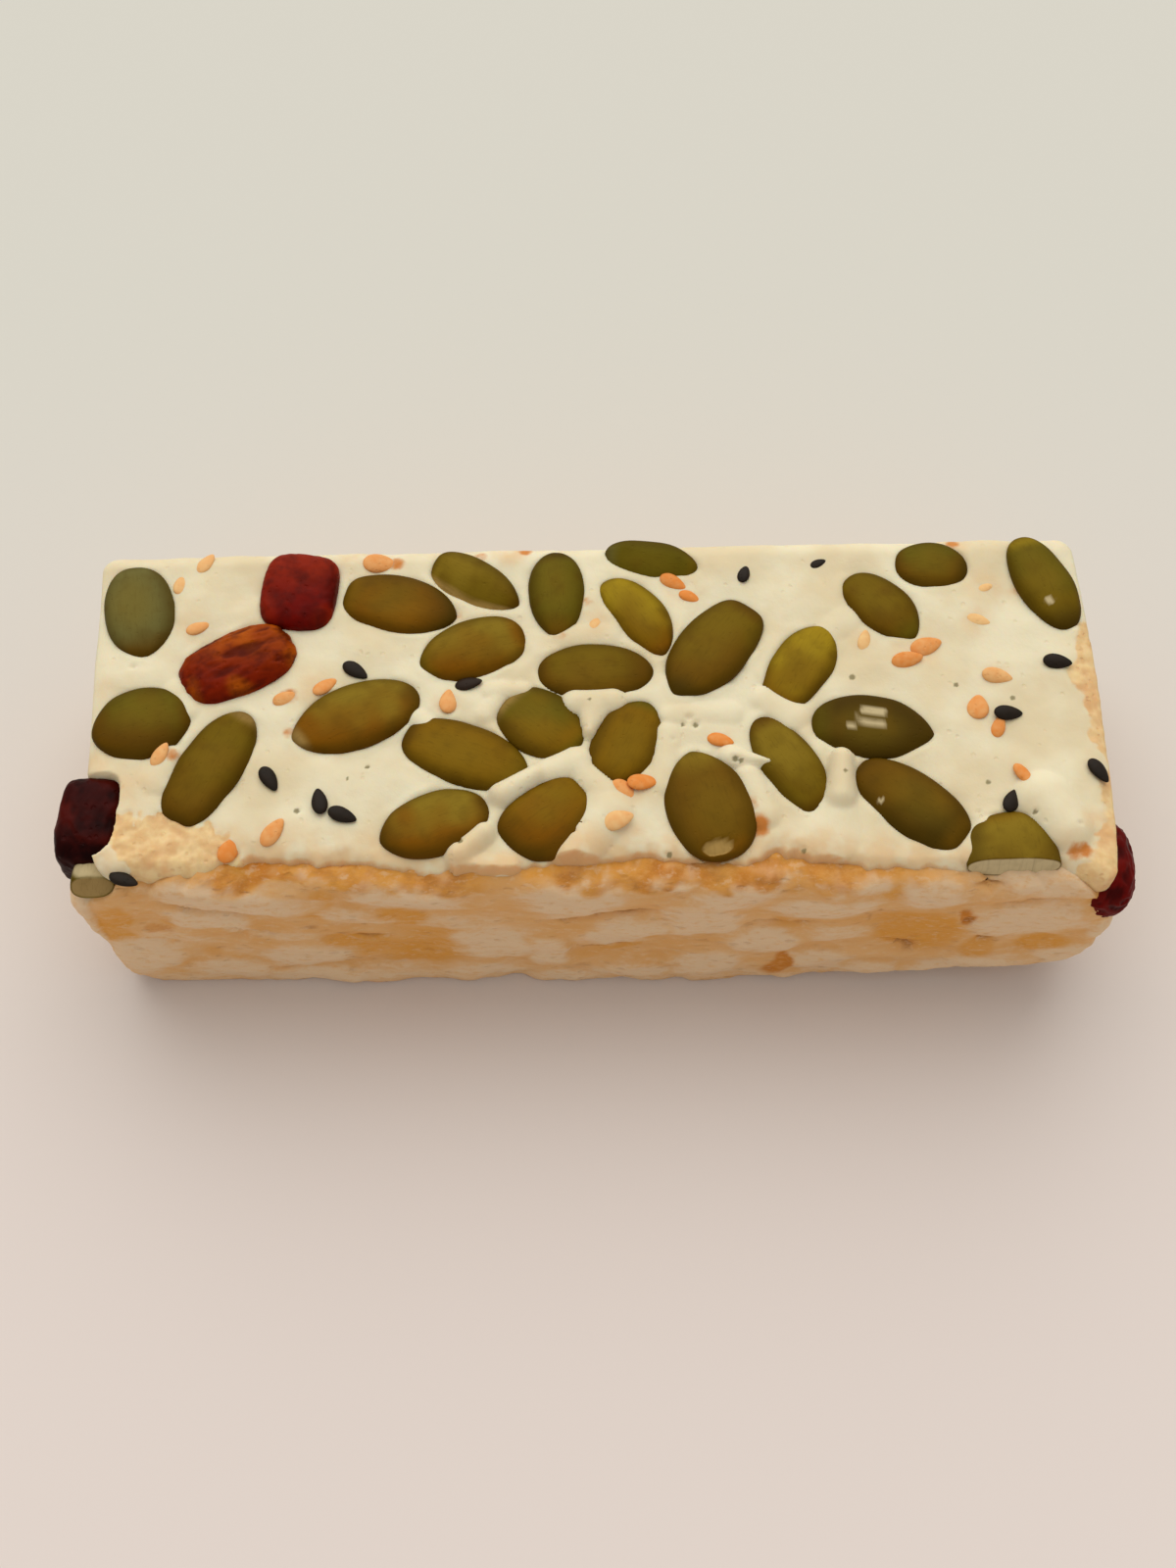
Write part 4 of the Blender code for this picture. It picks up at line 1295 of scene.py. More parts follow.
@dataclass
class MarshmallowTop:
    """The set marshmallow: a pillowy skin that rises between the seeds and laps over their edges."""

    plan: BarPlan
    outlines: list[Array]
    deep_outlines: list[Array]
    columns: int = 400
    rows: int = 160
    side_rows: int = 8
    # The front edge is drawn in where the dough's edge is rounded, between these places in mm.
    lip_inset: float = 1.6 * MM
    lip_x: Span = (53.5, 48.0)
    lip_y: Span = (-12.0, -20.0)
    swells: tuple[Ripple, ...] = (
        Ripple(9.0 * MM, 0.0, 0.25 * MM), Ripple(4.2 * MM, 3.0, 0.18 * MM), Ripple(1.9 * MM, 6.0, 0.06 * MM),
    )
    half_length: float = 52.6 * MM
    rim_drop: float = 0.8 * MM
    rim_width: float = 1.9 * MM
    edge_drop: float = 0.75 * MM
    edge_width: float = 1.0 * MM
    edge_start: float = 0.1 * MM
    edge_slope: float = 3.0
    # Around each seed it laps over the edge by an uneven width, stands in a low ridge, and rises beyond it.
    farthest: float = 6.0 * MM
    lap: float = 0.24 * MM
    lap_ripple: Ripple = Ripple(3.4 * MM, 20.0)
    lap_span: Span = (-0.25, 0.45)
    lap_least: float = 0.3
    pillow_rise: float = 0.3 * MM
    pillow_width: float = 1.5 * MM
    pillow_ripple: Ripple = Ripple(5.0 * MM, 12.0, 0.8)
    ridge_rise: float = 0.2 * MM
    ridge_place: float = 0.35 * MM
    ridge_width: float = 0.6 * MM
    ridge_span: Span = (-0.15, 0.5)
    sink: float = 1.6 * MM
    sink_span: Span = (0.0, 1.3 * MM)
    deep_sink: float = 3.2 * MM
    deep_span: Span = (-0.3 * MM, -0.7 * MM)
    fold_roundness: float = 0.75
    fold_blend: float = 0.4 * MM
    fold_span: Span = (1.0, 0.86)
    bubble_depth: float = 0.56
    bubble_most: float = 0.5
    bubble_span: Span = (1.0, 0.4)
    spot_span: Span = (1.15, 0.25)
    torn: tuple[Ripple, ...] = (Ripple(1.9 * MM, 41.0, 0.4), Ripple(0.8 * MM, 45.0, 0.2))
    torn_span: Span = (1.1, 0.75)
    side_torn: float = 1.2 * MM
    side_span: Span = (0.9 * MM, -0.9 * MM)
    side_most: float = 0.95
    crumbs: tuple[Ripple, ...] = (Ripple(1.3 * MM, 51.0, 0.2 * MM), Ripple(0.6 * MM, 55.0, 0.12 * MM))
    crumb_drop: float = 0.22 * MM
    under_bottom: float = 0.2 * MM
    wall_foot: float = 0.4 * MM
    wall_wobble: tuple[Ripple, ...] = (Ripple(1.6 * MM, 4.4, 0.14 * MM), Ripple(5.0 * MM, 1.4, 0.12 * MM))
    wall_shift: Ripple = Ripple(2.2 * MM, 9.0, 6.0 * MM)
    # The cut sides get half the peach tint, as painted shade.
    wall_blush_shade: float = 0.5
    thin_span: Span = (0.4 * MM, -0.3 * MM)
    front_blush_shade_span: Span = (4.6 * MM, 0.4 * MM)

    def grid(self) -> tuple[Array, Array, Array]:
        """The skin's points from above, and their shares along and across the bar."""
        u, v = square_grid(self.rows, self.columns)
        rough_plan, _ = self.plan.outline(u, v, np.zeros(len(u)))
        x, y = (rough_plan / MM).T
        inset = smooth_step(*self.lip_x, x) * smooth_step(*self.lip_y, y) * self.lip_inset
        return self.plan.outline(u, v, inset)[0], u, v

    def showing(self, plan: Array) -> Array:
        """How much the dough shows through at each point, from 0 to 1."""
        torn = rippled(plan, self.torn)
        side = smooth_step(*self.side_span, self.plan.covered(plan) + torn * self.side_torn)
        result = side * self.side_most
        for x, y, half_length, half_width, most in SHOWING:
            size = np.hypot((plan[:, 0] / MM - x) / half_length, (plan[:, 1] / MM - y) / half_width)
            result = np.maximum(result, smooth_step(*self.torn_span, size + torn) * most)
        return result

    def nearest(self, plan: Array, outlines: list[Array]) -> Array:
        """The distance from each point to the nearest of some outlines, below 0 inside one."""
        return np.min([outline_distance(plan, outline, self.farthest) for outline in outlines], axis=0)

    def around_seeds(self, plan: Array) -> tuple[Array, Array]:
        """How high the skin stands up around the seeds, and the distance to where it laps over them."""
        ripple = self.lap_ripple.at(plan)
        lap = self.lap * (smooth_step(*self.lap_span, ripple) - self.lap_least)
        lapped = self.nearest(plan, self.outlines) + lap
        pillow = 1.0 - np.exp(-np.maximum(lapped, 0.0) / self.pillow_width)
        height = self.pillow_rise * pillow * (1.0 + self.pillow_ripple.at(plan))
        ridge = np.exp(-(((lapped - self.ridge_place) / self.ridge_width) ** 2))
        return height + ridge * smooth_step(*self.ridge_span, ripple) * self.ridge_rise, lapped

    def surface(self, plan: Array, u: Array, v: Array) -> tuple[Array, Array, Array]:
        """The height of the skin over its plan.

        Args:
            plan: rows of x and y.
            u: the points' shares along the bar.
            v: and across it.

        Returns:
            The heights, the reach behind the front edge, and how much the dough shows.
        """
        edge = np.minimum((1.0 - np.abs(u)) * self.half_length, (1.0 - np.abs(v)) * self.plan.half_width)
        reach = self.plan.white_reach(plan)
        height = rippled(plan, self.swells)
        height -= self.rim_drop * (1.0 - np.minimum(edge / self.rim_width, 1.0)) ** 2
        height -= self.edge_drop * np.exp(-np.maximum(reach + self.edge_start, 0.0) / self.edge_width)
        raised, lapped = self.around_seeds(plan)
        height += raised
        cover = np.zeros(len(plan))
        for fold in FOLDS:
            distance = fold.distance(plan)
            height = self.with_fold(distance, fold.rise * MM, height)
            cover = np.maximum(cover, smooth_step(*self.fold_span, distance))
        height -= self.sink * smooth_step(*self.sink_span, -lapped) * (1.0 - cover)
        height -= self.deep_sink * smooth_step(*self.deep_span, self.nearest(plan, self.deep_outlines))
        for x, y, radius in BUBBLES:
            distance = np.hypot(plan[:, 0] / MM - x, plan[:, 1] / MM - y) / radius
            depth = self.bubble_depth * min(radius, self.bubble_most) * MM
            height -= depth * smooth_step(*self.bubble_span, distance)
        showing = self.showing(plan)
        height += showing * (rippled(plan, self.crumbs) - self.crumb_drop)
        height -= np.maximum(-reach - self.edge_start, 0.0) * self.edge_slope
        lowest = self.plan.white_bottom - self.under_bottom
        return np.maximum(self.plan.white_top + height, lowest), reach, showing

    def with_fold(self, distance: Array, rise: float, height: Array) -> Array:
        """The skin's height with a fold laid on it, blended where they meet."""
        top = rise * np.maximum(1.0 - np.minimum(distance, 1.0) ** 2, 0.0) ** self.fold_roundness
        soft = self.fold_blend
        joined = 0.5 * (height + top + np.sqrt((height - top) ** 2 + soft**2)) - 0.5 * soft
        return np.where(distance < 1.0, np.maximum(joined, height), height)

    def spots(self, plan: Array, rows: tuple) -> Array:
        """The strength of round soft spots at each point, from rows of x, y, radius and a strength."""
        result = np.zeros(len(plan))
        for x, y, radius, strength in rows:
            distance = np.hypot(plan[:, 0] / MM - x, plan[:, 1] / MM - y) / radius
            result = np.maximum(result, smooth_step(*self.spot_span, distance) * strength)
        return result

    def build(self, material: Material) -> Piece:
        """Builds the skin, its cut sides and its underside.

        Args:
            material: its finish.

        Returns:
            The piece, which stands for the CAD layer.
        """
        plan, u, v = self.grid()
        height, reach, showing = self.surface(plan, u, v)
        top = np.column_stack([plan, height])
        rim = grid_rim(self.rows, self.columns)
        edge, around = top[rim], len(rim)
        foot = self.plan.white_bottom - self.wall_foot
        outward = edge[:, :2] / np.linalg.norm(edge[:, :2], axis=1)[:, None]
        parts = []
        for share in np.arange(1, self.side_rows + 1) / self.side_rows:
            ring = edge.copy()
            ring[:, 2] += (foot - ring[:, 2]) * share
            ring[:, :2] += outward * (rippled(ring, self.wall_wobble) * math.sin(math.pi * share))[:, None]
            parts.append(ring)
        walls = np.concatenate(parts)
        rings = [rim] + [len(top) + index * around + np.arange(around) for index in range(self.side_rows)]
        faces = grid_faces(self.rows, self.columns).tolist() + ring_faces(rings[::-1])
        faces.append(rings[-1][::-1].tolist())
        piece = new_piece("marshmallow_skin", np.concatenate([top, walls]), faces, material)
        # The peach tint is painted shade near the front edge and on the cut sides, and real tint at the
        # listed spots.
        blush_and_shade = np.maximum(smooth_step(*self.front_blush_shade_span, reach), self.spots(plan, BLUSHES))
        shift = np.column_stack([np.zeros(len(walls)), self.wall_shift.at(walls)])
        side = np.zeros(len(walls))
        for name, upper, lower in (
            ("thin", smooth_step(*self.thin_span, reach), side),
            ("blush_and_shade", blush_and_shade, side + self.wall_blush_shade),
            ("showing", showing, self.showing(walls[:, :2] + shift)),
            ("toast", self.spots(plan, TOASTED), side),
            ("fleck", self.spots(plan, FLECKS), side),
        ):
            store_numbers(piece, name, np.concatenate([upper, lower]))
        finish_piece(piece, "marshmallow", "marshmallow_top")
        return piece


# ---- the pumpkin seeds ----


class Tone(Enum):
    """The tones of a pumpkin seed's skin."""

    GREY_GREEN = linear(104, 96, 48)
    GREEN = linear(96, 82, 12)
    OLIVE = linear(108, 84, 10)
    SUNLIT = linear(130, 105, 26)
    LIME = linear(152, 124, 22)
    GOLD = linear(122, 88, 8)
    AMBER = linear(120, 74, 3)
    UMBER = linear(104, 72, 8)
    BARK = linear(90, 60, 3)
    DARK = linear(70, 51, 5)
    TAN = linear(168, 134, 74)
    CREAM = linear(200, 180, 136)
    TAN_GREY = linear(150, 122, 74)


@dataclass(frozen=True)
class SeedLook:
    """A pumpkin seed's tones on its far and near side, at its tip and blunt end, its edge band and its form.

    The band is pale skin along one side: 1 for the left of the seed's heading, -1 for the right, 0 for none.
    """

    # From far to near the tones change partly as the skin's own colour and partly as painted light: painted
    # sky reflection on the far side, painted shade on the near side.
    far: Tone
    near: Tone
    tip: Tone = Tone.BARK
    tip_reach: float = 0.25
    blunt: Tone = Tone.BARK
    band: int = 0
    form: KernelForm = KernelForm()
    chip: bool = False


SEED_LOOKS = (
    SeedLook(
        Tone.GREY_GREEN, Tone.GREY_GREEN, Tone.BARK, 0.3, Tone.GREY_GREEN, 0,
        KernelForm(left=1.08, right=0.9, blunt=0.02),
    ),
    SeedLook(Tone.GREEN, Tone.BARK, Tone.BARK, 0.3, form=KernelForm(blunt=-0.12)),
    SeedLook(Tone.OLIVE, Tone.UMBER, Tone.TAN, 0.14, form=KernelForm(tip=0.12, blunt=0.3)),
    SeedLook(Tone.UMBER, Tone.AMBER, Tone.DARK, 0.4, Tone.GOLD, form=KernelForm(blunt=0.25)),
    SeedLook(
        Tone.SUNLIT, Tone.OLIVE, Tone.BARK, 0.2, Tone.OLIVE, -1,
        KernelForm(fullest=-0.22, tip=0.45, blunt=0.3),
    ),
    SeedLook(
        Tone.SUNLIT, Tone.AMBER, Tone.OLIVE, 0.2, Tone.AMBER, 0,
        KernelForm(fullest=-0.1, blunt=0.05, tip=0.42),
    ),
    SeedLook(
        Tone.GREEN, Tone.GREEN, Tone.UMBER, 0.3, Tone.DARK, 0,
        KernelForm(fullest=-0.1, tip=0.55, blunt=-0.1),
    ),
    SeedLook(Tone.SUNLIT, Tone.AMBER, Tone.TAN, 0.12, form=KernelForm(tip=0.5, blunt=-0.12)),
    SeedLook(Tone.GOLD, Tone.GOLD, Tone.OLIVE, 0.3, form=KernelForm(tip=0.15, blunt=0.18)),
    SeedLook(
        Tone.GREEN, Tone.GOLD, Tone.GREEN, 0.2, Tone.TAN, 0,
        KernelForm(left=1.12, right=1.12, tip=0.2, blunt=0.1),
    ),
    SeedLook(Tone.SUNLIT, Tone.AMBER, Tone.BARK, 0.25),
    SeedLook(
        Tone.GOLD, Tone.AMBER, Tone.BARK, 0.3, Tone.GOLD, 0,
        KernelForm(bend=0.1, left=1.28, right=0.88, tip=-0.1),
    ),
    SeedLook(Tone.GREEN, Tone.GREEN, Tone.OLIVE, 0.2, Tone.GREY_GREEN, form=KernelForm(tip=0.25)),
    SeedLook(Tone.LIME, Tone.GOLD, Tone.AMBER, 0.28, Tone.LIME, 0, KernelForm(bend=0.16, right=0.82)),
    SeedLook(Tone.OLIVE, Tone.UMBER, Tone.DARK, 0.25, form=KernelForm(tip=0.5, blunt=0.3)),
    SeedLook(Tone.LIME, Tone.GOLD, Tone.LIME, 0.2, Tone.GOLD, form=KernelForm(tip=0.6, blunt=0.3)),
    SeedLook(Tone.OLIVE, Tone.UMBER, Tone.BARK, 0.35, form=KernelForm(tip=0.2)),
    SeedLook(Tone.GOLD, Tone.GOLD, Tone.GREEN, 0.2, form=KernelForm(left=1.14, right=1.12)),
    SeedLook(
        Tone.UMBER, Tone.UMBER, Tone.SUNLIT, 0.3, Tone.AMBER, 0, KernelForm(fullest=-0.12, tip=0.45), True
    ),
    SeedLook(Tone.SUNLIT, Tone.OLIVE, Tone.BARK, 0.24, form=KernelForm(tip=0.1, blunt=0.25, fullest=-0.1)),
    SeedLook(Tone.DARK, Tone.DARK, Tone.DARK, 0.3, Tone.GREEN, form=KernelForm(tip=0.6)),
    SeedLook(
        Tone.UMBER, Tone.DARK, Tone.BARK, 0.2, Tone.UMBER,
        form=KernelForm(tip=-0.05, blunt=0.15, fullest=-0.12),
    ),
    SeedLook(Tone.SUNLIT, Tone.BARK, Tone.BARK, 0.3, Tone.GOLD, form=KernelForm(right=1.16, blunt=0.12)),
    SeedLook(
        Tone.OLIVE, Tone.UMBER, Tone.GREEN, 0.3, Tone.OLIVE, 0, KernelForm(tip=0.45, left=1.08, right=0.88)
    ),
    SeedLook(Tone.GREEN, Tone.UMBER, Tone.DARK, 0.3, form=KernelForm(tip=0.05)),
    SeedLook(
        Tone.GREEN, Tone.OLIVE, Tone.DARK, 0.3, Tone.LIME, form=KernelForm(left=0.92, right=0.92, tip=0.12)
    ),
    SeedLook(Tone.GREEN, Tone.GREEN, Tone.GREEN, 0.2, Tone.GREEN, form=KernelForm(depth=0.5)),
)

# Cream marks on the seeds, of no height of their own: the first five are partly marshmallow smears and partly
# painted highlights, and the last is marshmallow smeared over the cut seed in the left corner.
SMEARS_AND_GLINTS = tuple(Fold(*row) for row in (
    (27.9, -1.3, 29.9, -1.5, 0.5), (27.1, -2.2, 29.7, -3.1, 0.42), (26.4, -3.1, 26.6, -3.2, 0.42),
    (48.9, 12.1, 49.1, 12.0, 0.5), (28.8, -11.7, 29.0, -11.7, 0.3), (-52.4, -16.9, -50.2, -16.9, 1.25),
))

# How far some seeds lie from the middle of their CAD node: x and y in millimetres, the share that their
# length is multiplied by, and how far they are turned in degrees.
NO_NUDGE = (0.0, 0.0, 1.0, 0.0)
NUDGES = {
    "pumpkin_seed_05": (-0.9, -0.9, 1.0, 0.0),
    "pumpkin_seed_09": (0.7, 0.0, 1.0, 0.0),
    "pumpkin_seed_12": (-0.2, 0.6, 0.95, 0.0),
    "pumpkin_seed_14": (-0.7, -0.4, 1.06, 0.0),
    "pumpkin_seed_15": (-0.8, 0.3, 0.95, 6.0),
}


@dataclass(frozen=True)
class KnifeCut:
    """How the knife went through a seed.

    The whole seed is its x, y and z, its length and its width in millimetres, and its heading in degrees. The
    plane of the knife is a point in millimetres and the direction of what it took away. The last value says
    whether the marshmallow holds the seed.
    """

    whole: tuple[float, float, float, float, float, float]
    point: Point
    direction: Point
    inside: Tone
    held: bool


CUT_SEEDS = {
    "pumpkin_seed_23": KnifeCut(
        (42.2, -18.5, 25.1, 11.4, 8.2, -80.0), (42.3, -18.9, 25.1), (0.0, -1.0, 0.2), Tone.CREAM, True
    ),
    "pumpkin_seed_27": KnifeCut(
        (-51.2, -17.6, 22.6, 7.2, 4.4, 85.0), (-51.4, -18.8, 22.6), (0.0, -0.6, 0.8), Tone.TAN_GREY, False
    ),
}


@dataclass(frozen=True)
class KernelSkin:
    """Colours a seed's points: its tones, blotches and ends, its edge darkened partly as painted shade, a
    painted highlight on its top, and cream marks that are partly marshmallow smears and partly painted
    highlights.
    """

    blotches: Ripple = Ripple(2.6 * MM, 50.0, 0.35)
    blotch_share: float = 0.3
    far_span: Span = (0.15, 0.85)
    warm: Patches = Patches(Ripple(1.7 * MM, 90.0), (0.1, 0.6), 0.3)
    blunt_span: Span = (-0.62, -1.0)
    blunt_most: float = 0.85
    # The edge and ends are darkened, partly as the skin's darker rim and partly as painted shade that rounds
    # the seed.
    rim_and_shade_span: Span = (0.5, 1.0)
    end_and_shade_span: Span = (0.8, 1.0)
    rim_and_shade_most: float = 0.6
    # A painted highlight: the middle of the seed's upper face is lightened towards the sunlit tone.
    highlight_place: float = -0.1
    highlight_span: Span = (0.9, 0.2)
    highlight_up: Span = (0.3, 0.8)
    highlight_most: float = 0.28
    smear_glint_span: Span = (1.0, 0.55)
    smear_glint_up: float = 0.1
    smear_glint_most: float = 0.9
    band_span: Span = (0.35, 0.6)
    band_end: Span = (0.95, 0.7)
    band_most: float = 0.8
    chip_centre: tuple[float, float] = (-0.8, 0.1)
    chip_size: tuple[float, float] = (0.12, 0.4)
    chip_torn: Ripple = Ripple(1.2 * MM, 60.0, 0.35)
    chip_span: Span = (1.1, 0.8)
    chip_edge: Span = (0.3, 0.7)

    def colours(self, look: SeedLook, shares: Array, points: Array, seed: int) -> Array:
        """The skin's colour at each point.

        Args:
            look: the seed's tones.
            shares: each point's share along, across and up the seed.
            points: where its pattern is read: the points in the bar's frame or, with a chip, in its own.
            seed: for where its blotches fall.

        Returns:
            A linear colour for each point.
        """
        along, across, up = shares.T
        blotch = self.blotches.at(points, seed)
        uneven = blotch * self.blotch_share
        colour = np.tile(look.near.value, (len(points), 1))
        # The far tone carries painted sky reflection and the near tone painted shade, over the skin's own
        # colours.
        colour = blend(colour, look.far.value, smooth_step(*self.far_span, far_share(points) + blotch))
        colour = blend(colour, Tone.BARK.value, self.warm.at(points, seed))
        colour = blend(colour, look.tip.value, smooth_step(1.0 - 2.0 * look.tip_reach, 1.0, along + uneven))
        blunt = smooth_step(*self.blunt_span, along + uneven) * self.blunt_most
        colour = blend(colour, look.blunt.value, blunt)
        breadth = np.maximum(look.form.breadth(along), 0.05)
        aside = (across - look.form.bend * (1.0 - along**2)) / breadth
        # Darkens the edges and ends: partly the skin's darker rim, partly painted shade.
        ends = smooth_step(*self.end_and_shade_span, np.abs(along))
        edge = np.maximum(smooth_step(*self.rim_and_shade_span, np.abs(aside)), ends)
        colour = blend(colour, Tone.DARK.value, edge * self.rim_and_shade_most)
        # Painted highlight on the middle of the upper face.
        painted_highlight = smooth_step(*self.highlight_span, np.hypot(aside - self.highlight_place, along - self.highlight_place))
        colour = blend(colour, Tone.SUNLIT.value, painted_highlight * smooth_step(*self.highlight_up, up) * self.highlight_most)
        # Cream marks: marshmallow smears, and painted highlights on the skin.
        for smear in SMEARS_AND_GLINTS:
            near = smooth_step(*self.smear_glint_span, smear.distance(points[:, :2])) * (up > self.smear_glint_up)
            colour = blend(colour, Tone.CREAM.value, near * self.smear_glint_most)
        if look.band:
            side = smooth_step(*self.band_span, aside * look.band + uneven) * self.band_most
            colour = blend(colour, Tone.TAN.value, side * smooth_step(*self.band_end, np.abs(along)))
        if look.chip:
            chip = smooth_step(*self.chip_edge, self.chipped(shares, points, seed))
            colour = blend(colour, Tone.TAN.value, chip)
        return colour

    def chipped(self, shares: Array, points: Array, seed: int) -> Array:
        """1 where a flake of the skin has come off near the blunt end, and 0 elsewhere."""
        offset = (shares[:, :2] - np.array(self.chip_centre)) / np.array(self.chip_size)
        place = np.hypot(offset[:, 0], offset[:, 1]) + self.chip_torn.at(points, seed)
        return smooth_step(*self.chip_span, place) * (shares[:, 2] > 0.0)


@dataclass
class PumpkinSeeds:
    """The hulled pumpkin seeds, each a piece of its own over its CAD node."""

    skin: KernelSkin = KernelSkin()
    rings: int = 72
    columns: int = 48
    thickness: float = 2.9 * MM
    growth: float = 1.08
    flatness: float = 0.8
    fullness: float = 0.85
    end_fullness: float = 0.8
    hills: tuple[Ripple, ...] = (
        Ripple(3.2 * MM, 10.0, 0.13 * MM), Ripple(1.0 * MM, 30.0, 0.039 * MM, (0.3, 1.0, 1.0)),
    )
    sideways: Ripple = Ripple(4.0 * MM, 70.0, 0.208 * MM)
    most_roll: float = 5.0
    chip_depth: float = 0.4 * MM
    cut_rim: float = 0.22 * MM
    map_step: float = 3.7
    seed: int = 3
    places: dict[str, KernelPlace] = field(default_factory=dict)

    def __post_init__(self) -> None:
        """Finds the seeds in the frame and works out where each lies."""
        for name in sorted(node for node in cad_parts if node.startswith("pumpkin_seed")):
            cut = CUT_SEEDS.get(name)
            place = KernelPlace.stated(cut.whole) if cut else KernelPlace.measured(name)
            self.places[name] = place.nudged(*NUDGES.get(name, NO_NUDGE))

    def footprints(self) -> list[Array]:
        """The outlines from above of the seeds that the marshmallow holds."""
        free = {name for name, cut in CUT_SEEDS.items() if not cut.held}
        looks = zip(self.places.items(), SEED_LOOKS)
        return [place.footprint(look.form, self.growth) for (name, place), look in looks if name not in free]

    def kernel(self, place: KernelPlace, form: KernelForm, seed: int) -> tuple[Array, list, Array]:
        """A kernel in its own axes, with its tip at +X and its broad face up.

        Args:
            place: its size.
            form: its outline.
            seed: for the small unevenness of its form.

        Returns:
            The points, the faces, and for each point its share along, across and up.
        """
        along = -np.cos(np.linspace(0.0, math.pi, self.rings + 1))[1:-1]
        turn = np.arange(self.columns) * 2.0 * math.pi / self.columns
        depth = np.sqrt(1.0 - along**2) ** self.end_fullness
        across = np.sign(np.cos(turn)) * np.abs(np.cos(turn)) ** self.flatness
        upward = np.sign(np.sin(turn)) * np.abs(np.sin(turn)) ** self.fullness
        every_along = np.repeat(along, self.columns)
        every_across = form.across(every_along, np.tile(across, len(along)))
        shares = np.column_stack([every_along, every_across, (depth[:, None] * upward[None]).reshape(-1)])
        shares = np.concatenate([[[-1.0, 0.0, 0.0]], shares, [[1.0, 0.0, 0.0]]])
        size = [place.length, place.width * self.growth, self.thickness * form.depth]
        points = shares * np.array(size) / 2.0
        points[:, 2] += rippled(points, self.hills, seed) * (1.0 - np.abs(shares[:, 0]) ** 4)
        points[:, 1] += self.sideways.at(points, seed) * (1.0 - shares[:, 0] ** 2)
        rings = [1 + index * self.columns + np.arange(self.columns) for index in range(len(along))]
        last = len(points) - 1
        faces = ring_faces(rings)
        faces += [[0, int(b), int(a)] for a, b in zip(rings[0], np.roll(rings[0], -1))]
        faces += [[last, int(a), int(b)] for a, b in zip(rings[-1], np.roll(rings[-1], -1))]
        return points, faces, shares

    def trim(self, piece: Piece, cut: KnifeCut) -> None:
        """Cuts a seed flat where the knife went, and colours the cut face as its pale inside."""
        bm = bmesh.new()
        bm.from_mesh(piece.data)
        skin = bm.verts.layers.float_color["skin"]
        geom = bm.verts[:] + bm.edges[:] + bm.faces[:]
        plane = Vector(cut.point) * MM
        bmesh.ops.bisect_plane(bm, geom=geom, plane_co=plane, plane_no=cut.direction, clear_outer=True)
        open_edges = [edge for edge in bm.edges if edge.is_boundary]
        cap = bmesh.ops.contextual_create(bm, geom=open_edges)["faces"]
        rim = bmesh.ops.inset_region(bm, faces=cap, thickness=self.cut_rim, depth=0.0)["faces"]
        for vert in (vert for face in cap for vert in face.verts):
            vert[skin] = (*cut.inside.value, 1.0)
        for face in cap + rim:
            face.smooth = False
        bmesh.ops.recalc_face_normals(bm, faces=bm.faces)
        bm.to_mesh(piece.data)
        bm.free()

    @staticmethod
    def unwrap(piece: Piece, spread: Array) -> None:
        """Gives a piece its UV map, from a place for each point."""
        corners = np.zeros(len(piece.data.loops), np.int32)
        piece.data.loops.foreach_get("vertex_index", corners)
        uv_map = piece.data.uv_layers.new(name="kernel")
        uv_map.data.foreach_set("uv", spread[corners].astype(np.float32).reshape(-1))

    def build(self, material: Material) -> None:
        """Builds every seed, each standing for its CAD node.

        Args:
            material: the finish of their skins.
        """
        draw = random.Random(self.seed)
        for index, (name, place) in enumerate(self.places.items()):
            look, cut = SEED_LOOKS[index], CUT_SEEDS.get(name)
            local, faces, shares = self.kernel(place, look.form, index)
            matrix = np.array(place.matrix(0.0 if cut else draw.uniform(-self.most_roll, self.most_roll)))
            if look.chip:
                local[:, 2] -= self.skin.chipped(shares, local, index) * self.chip_depth
            points = local @ matrix[:3, :3].T + matrix[:3, 3]
            piece = new_piece(f"kernel_{index + 1:02d}", points, faces, material)
            pattern = local if look.chip else points
            store_colours(piece, "skin", self.skin.colours(look, shares, pattern, index))
            spread = shares[:, :2] * np.array([place.length / place.width, 1.0]) + index * self.map_step
            self.unwrap(piece, spread)
            if cut:
                self.trim(piece, cut)
            finish_piece(piece, "pumpkin_seed", name)


# ---- the raisins ----


@dataclass(frozen=True)
class RaisinLook:
    """A raisin's place and size in millimetres, its heading, its form and creases, and its tones.

    The tones are those of its far and near side, and where light comes through it. A larger square number
    makes it squarer, and the spacing and stretch are those of its creases.
    """

    centre: Point
    size: Point
    heading: float
    square: float
    crease: float
    spacing: float
    stretch: Point
    far: Colour
    near: Colour
    glow: Colour

    def reach(self, directions: Array) -> Array:
        """How far the form reaches in each direction, as a share of its half size."""
        return (np.abs(directions) ** self.square).sum(axis=1) ** (-1.0 / self.square)


RAISIN_LOOKS = (
    RaisinLook(
        (-31.7, 14.8, 25.0), (9.4, 8.2, 4.0), 84, 3.6, 0.12, 2.6, (0.8, 0.8, 1.0),
        linear(134, 32, 8), linear(104, 8, 1), linear(136, 34, 8),
    ),
    RaisinLook(
        (-37.8, 5.9, 25.0), (12.6, 7.6, 4.0), 27, 2.7, 0.19, 1.5, (0.45, 1.2, 1.0),
        linear(146, 58, 3), linear(118, 26, 0), linear(186, 92, 8),
    ),
    RaisinLook(
        (-52.1, -11.5, 21.0), (9.8, 6.9, 8.2), 86, 4.2, 0.2, 2.2, (0.6, 1.0, 1.0),
        linear(50, 6, 3), linear(36, 4, 2), linear(88, 14, 3),
    ),
    RaisinLook(
        (52.3, -16.3, 18.8), (9.9, 6.5, 7.4), 90, 2.6, 0.28, 1.5, (0.5, 1.1, 1.1),
        linear(84, 12, 8), linear(98, 10, 6), linear(108, 16, 8),
    ),
)


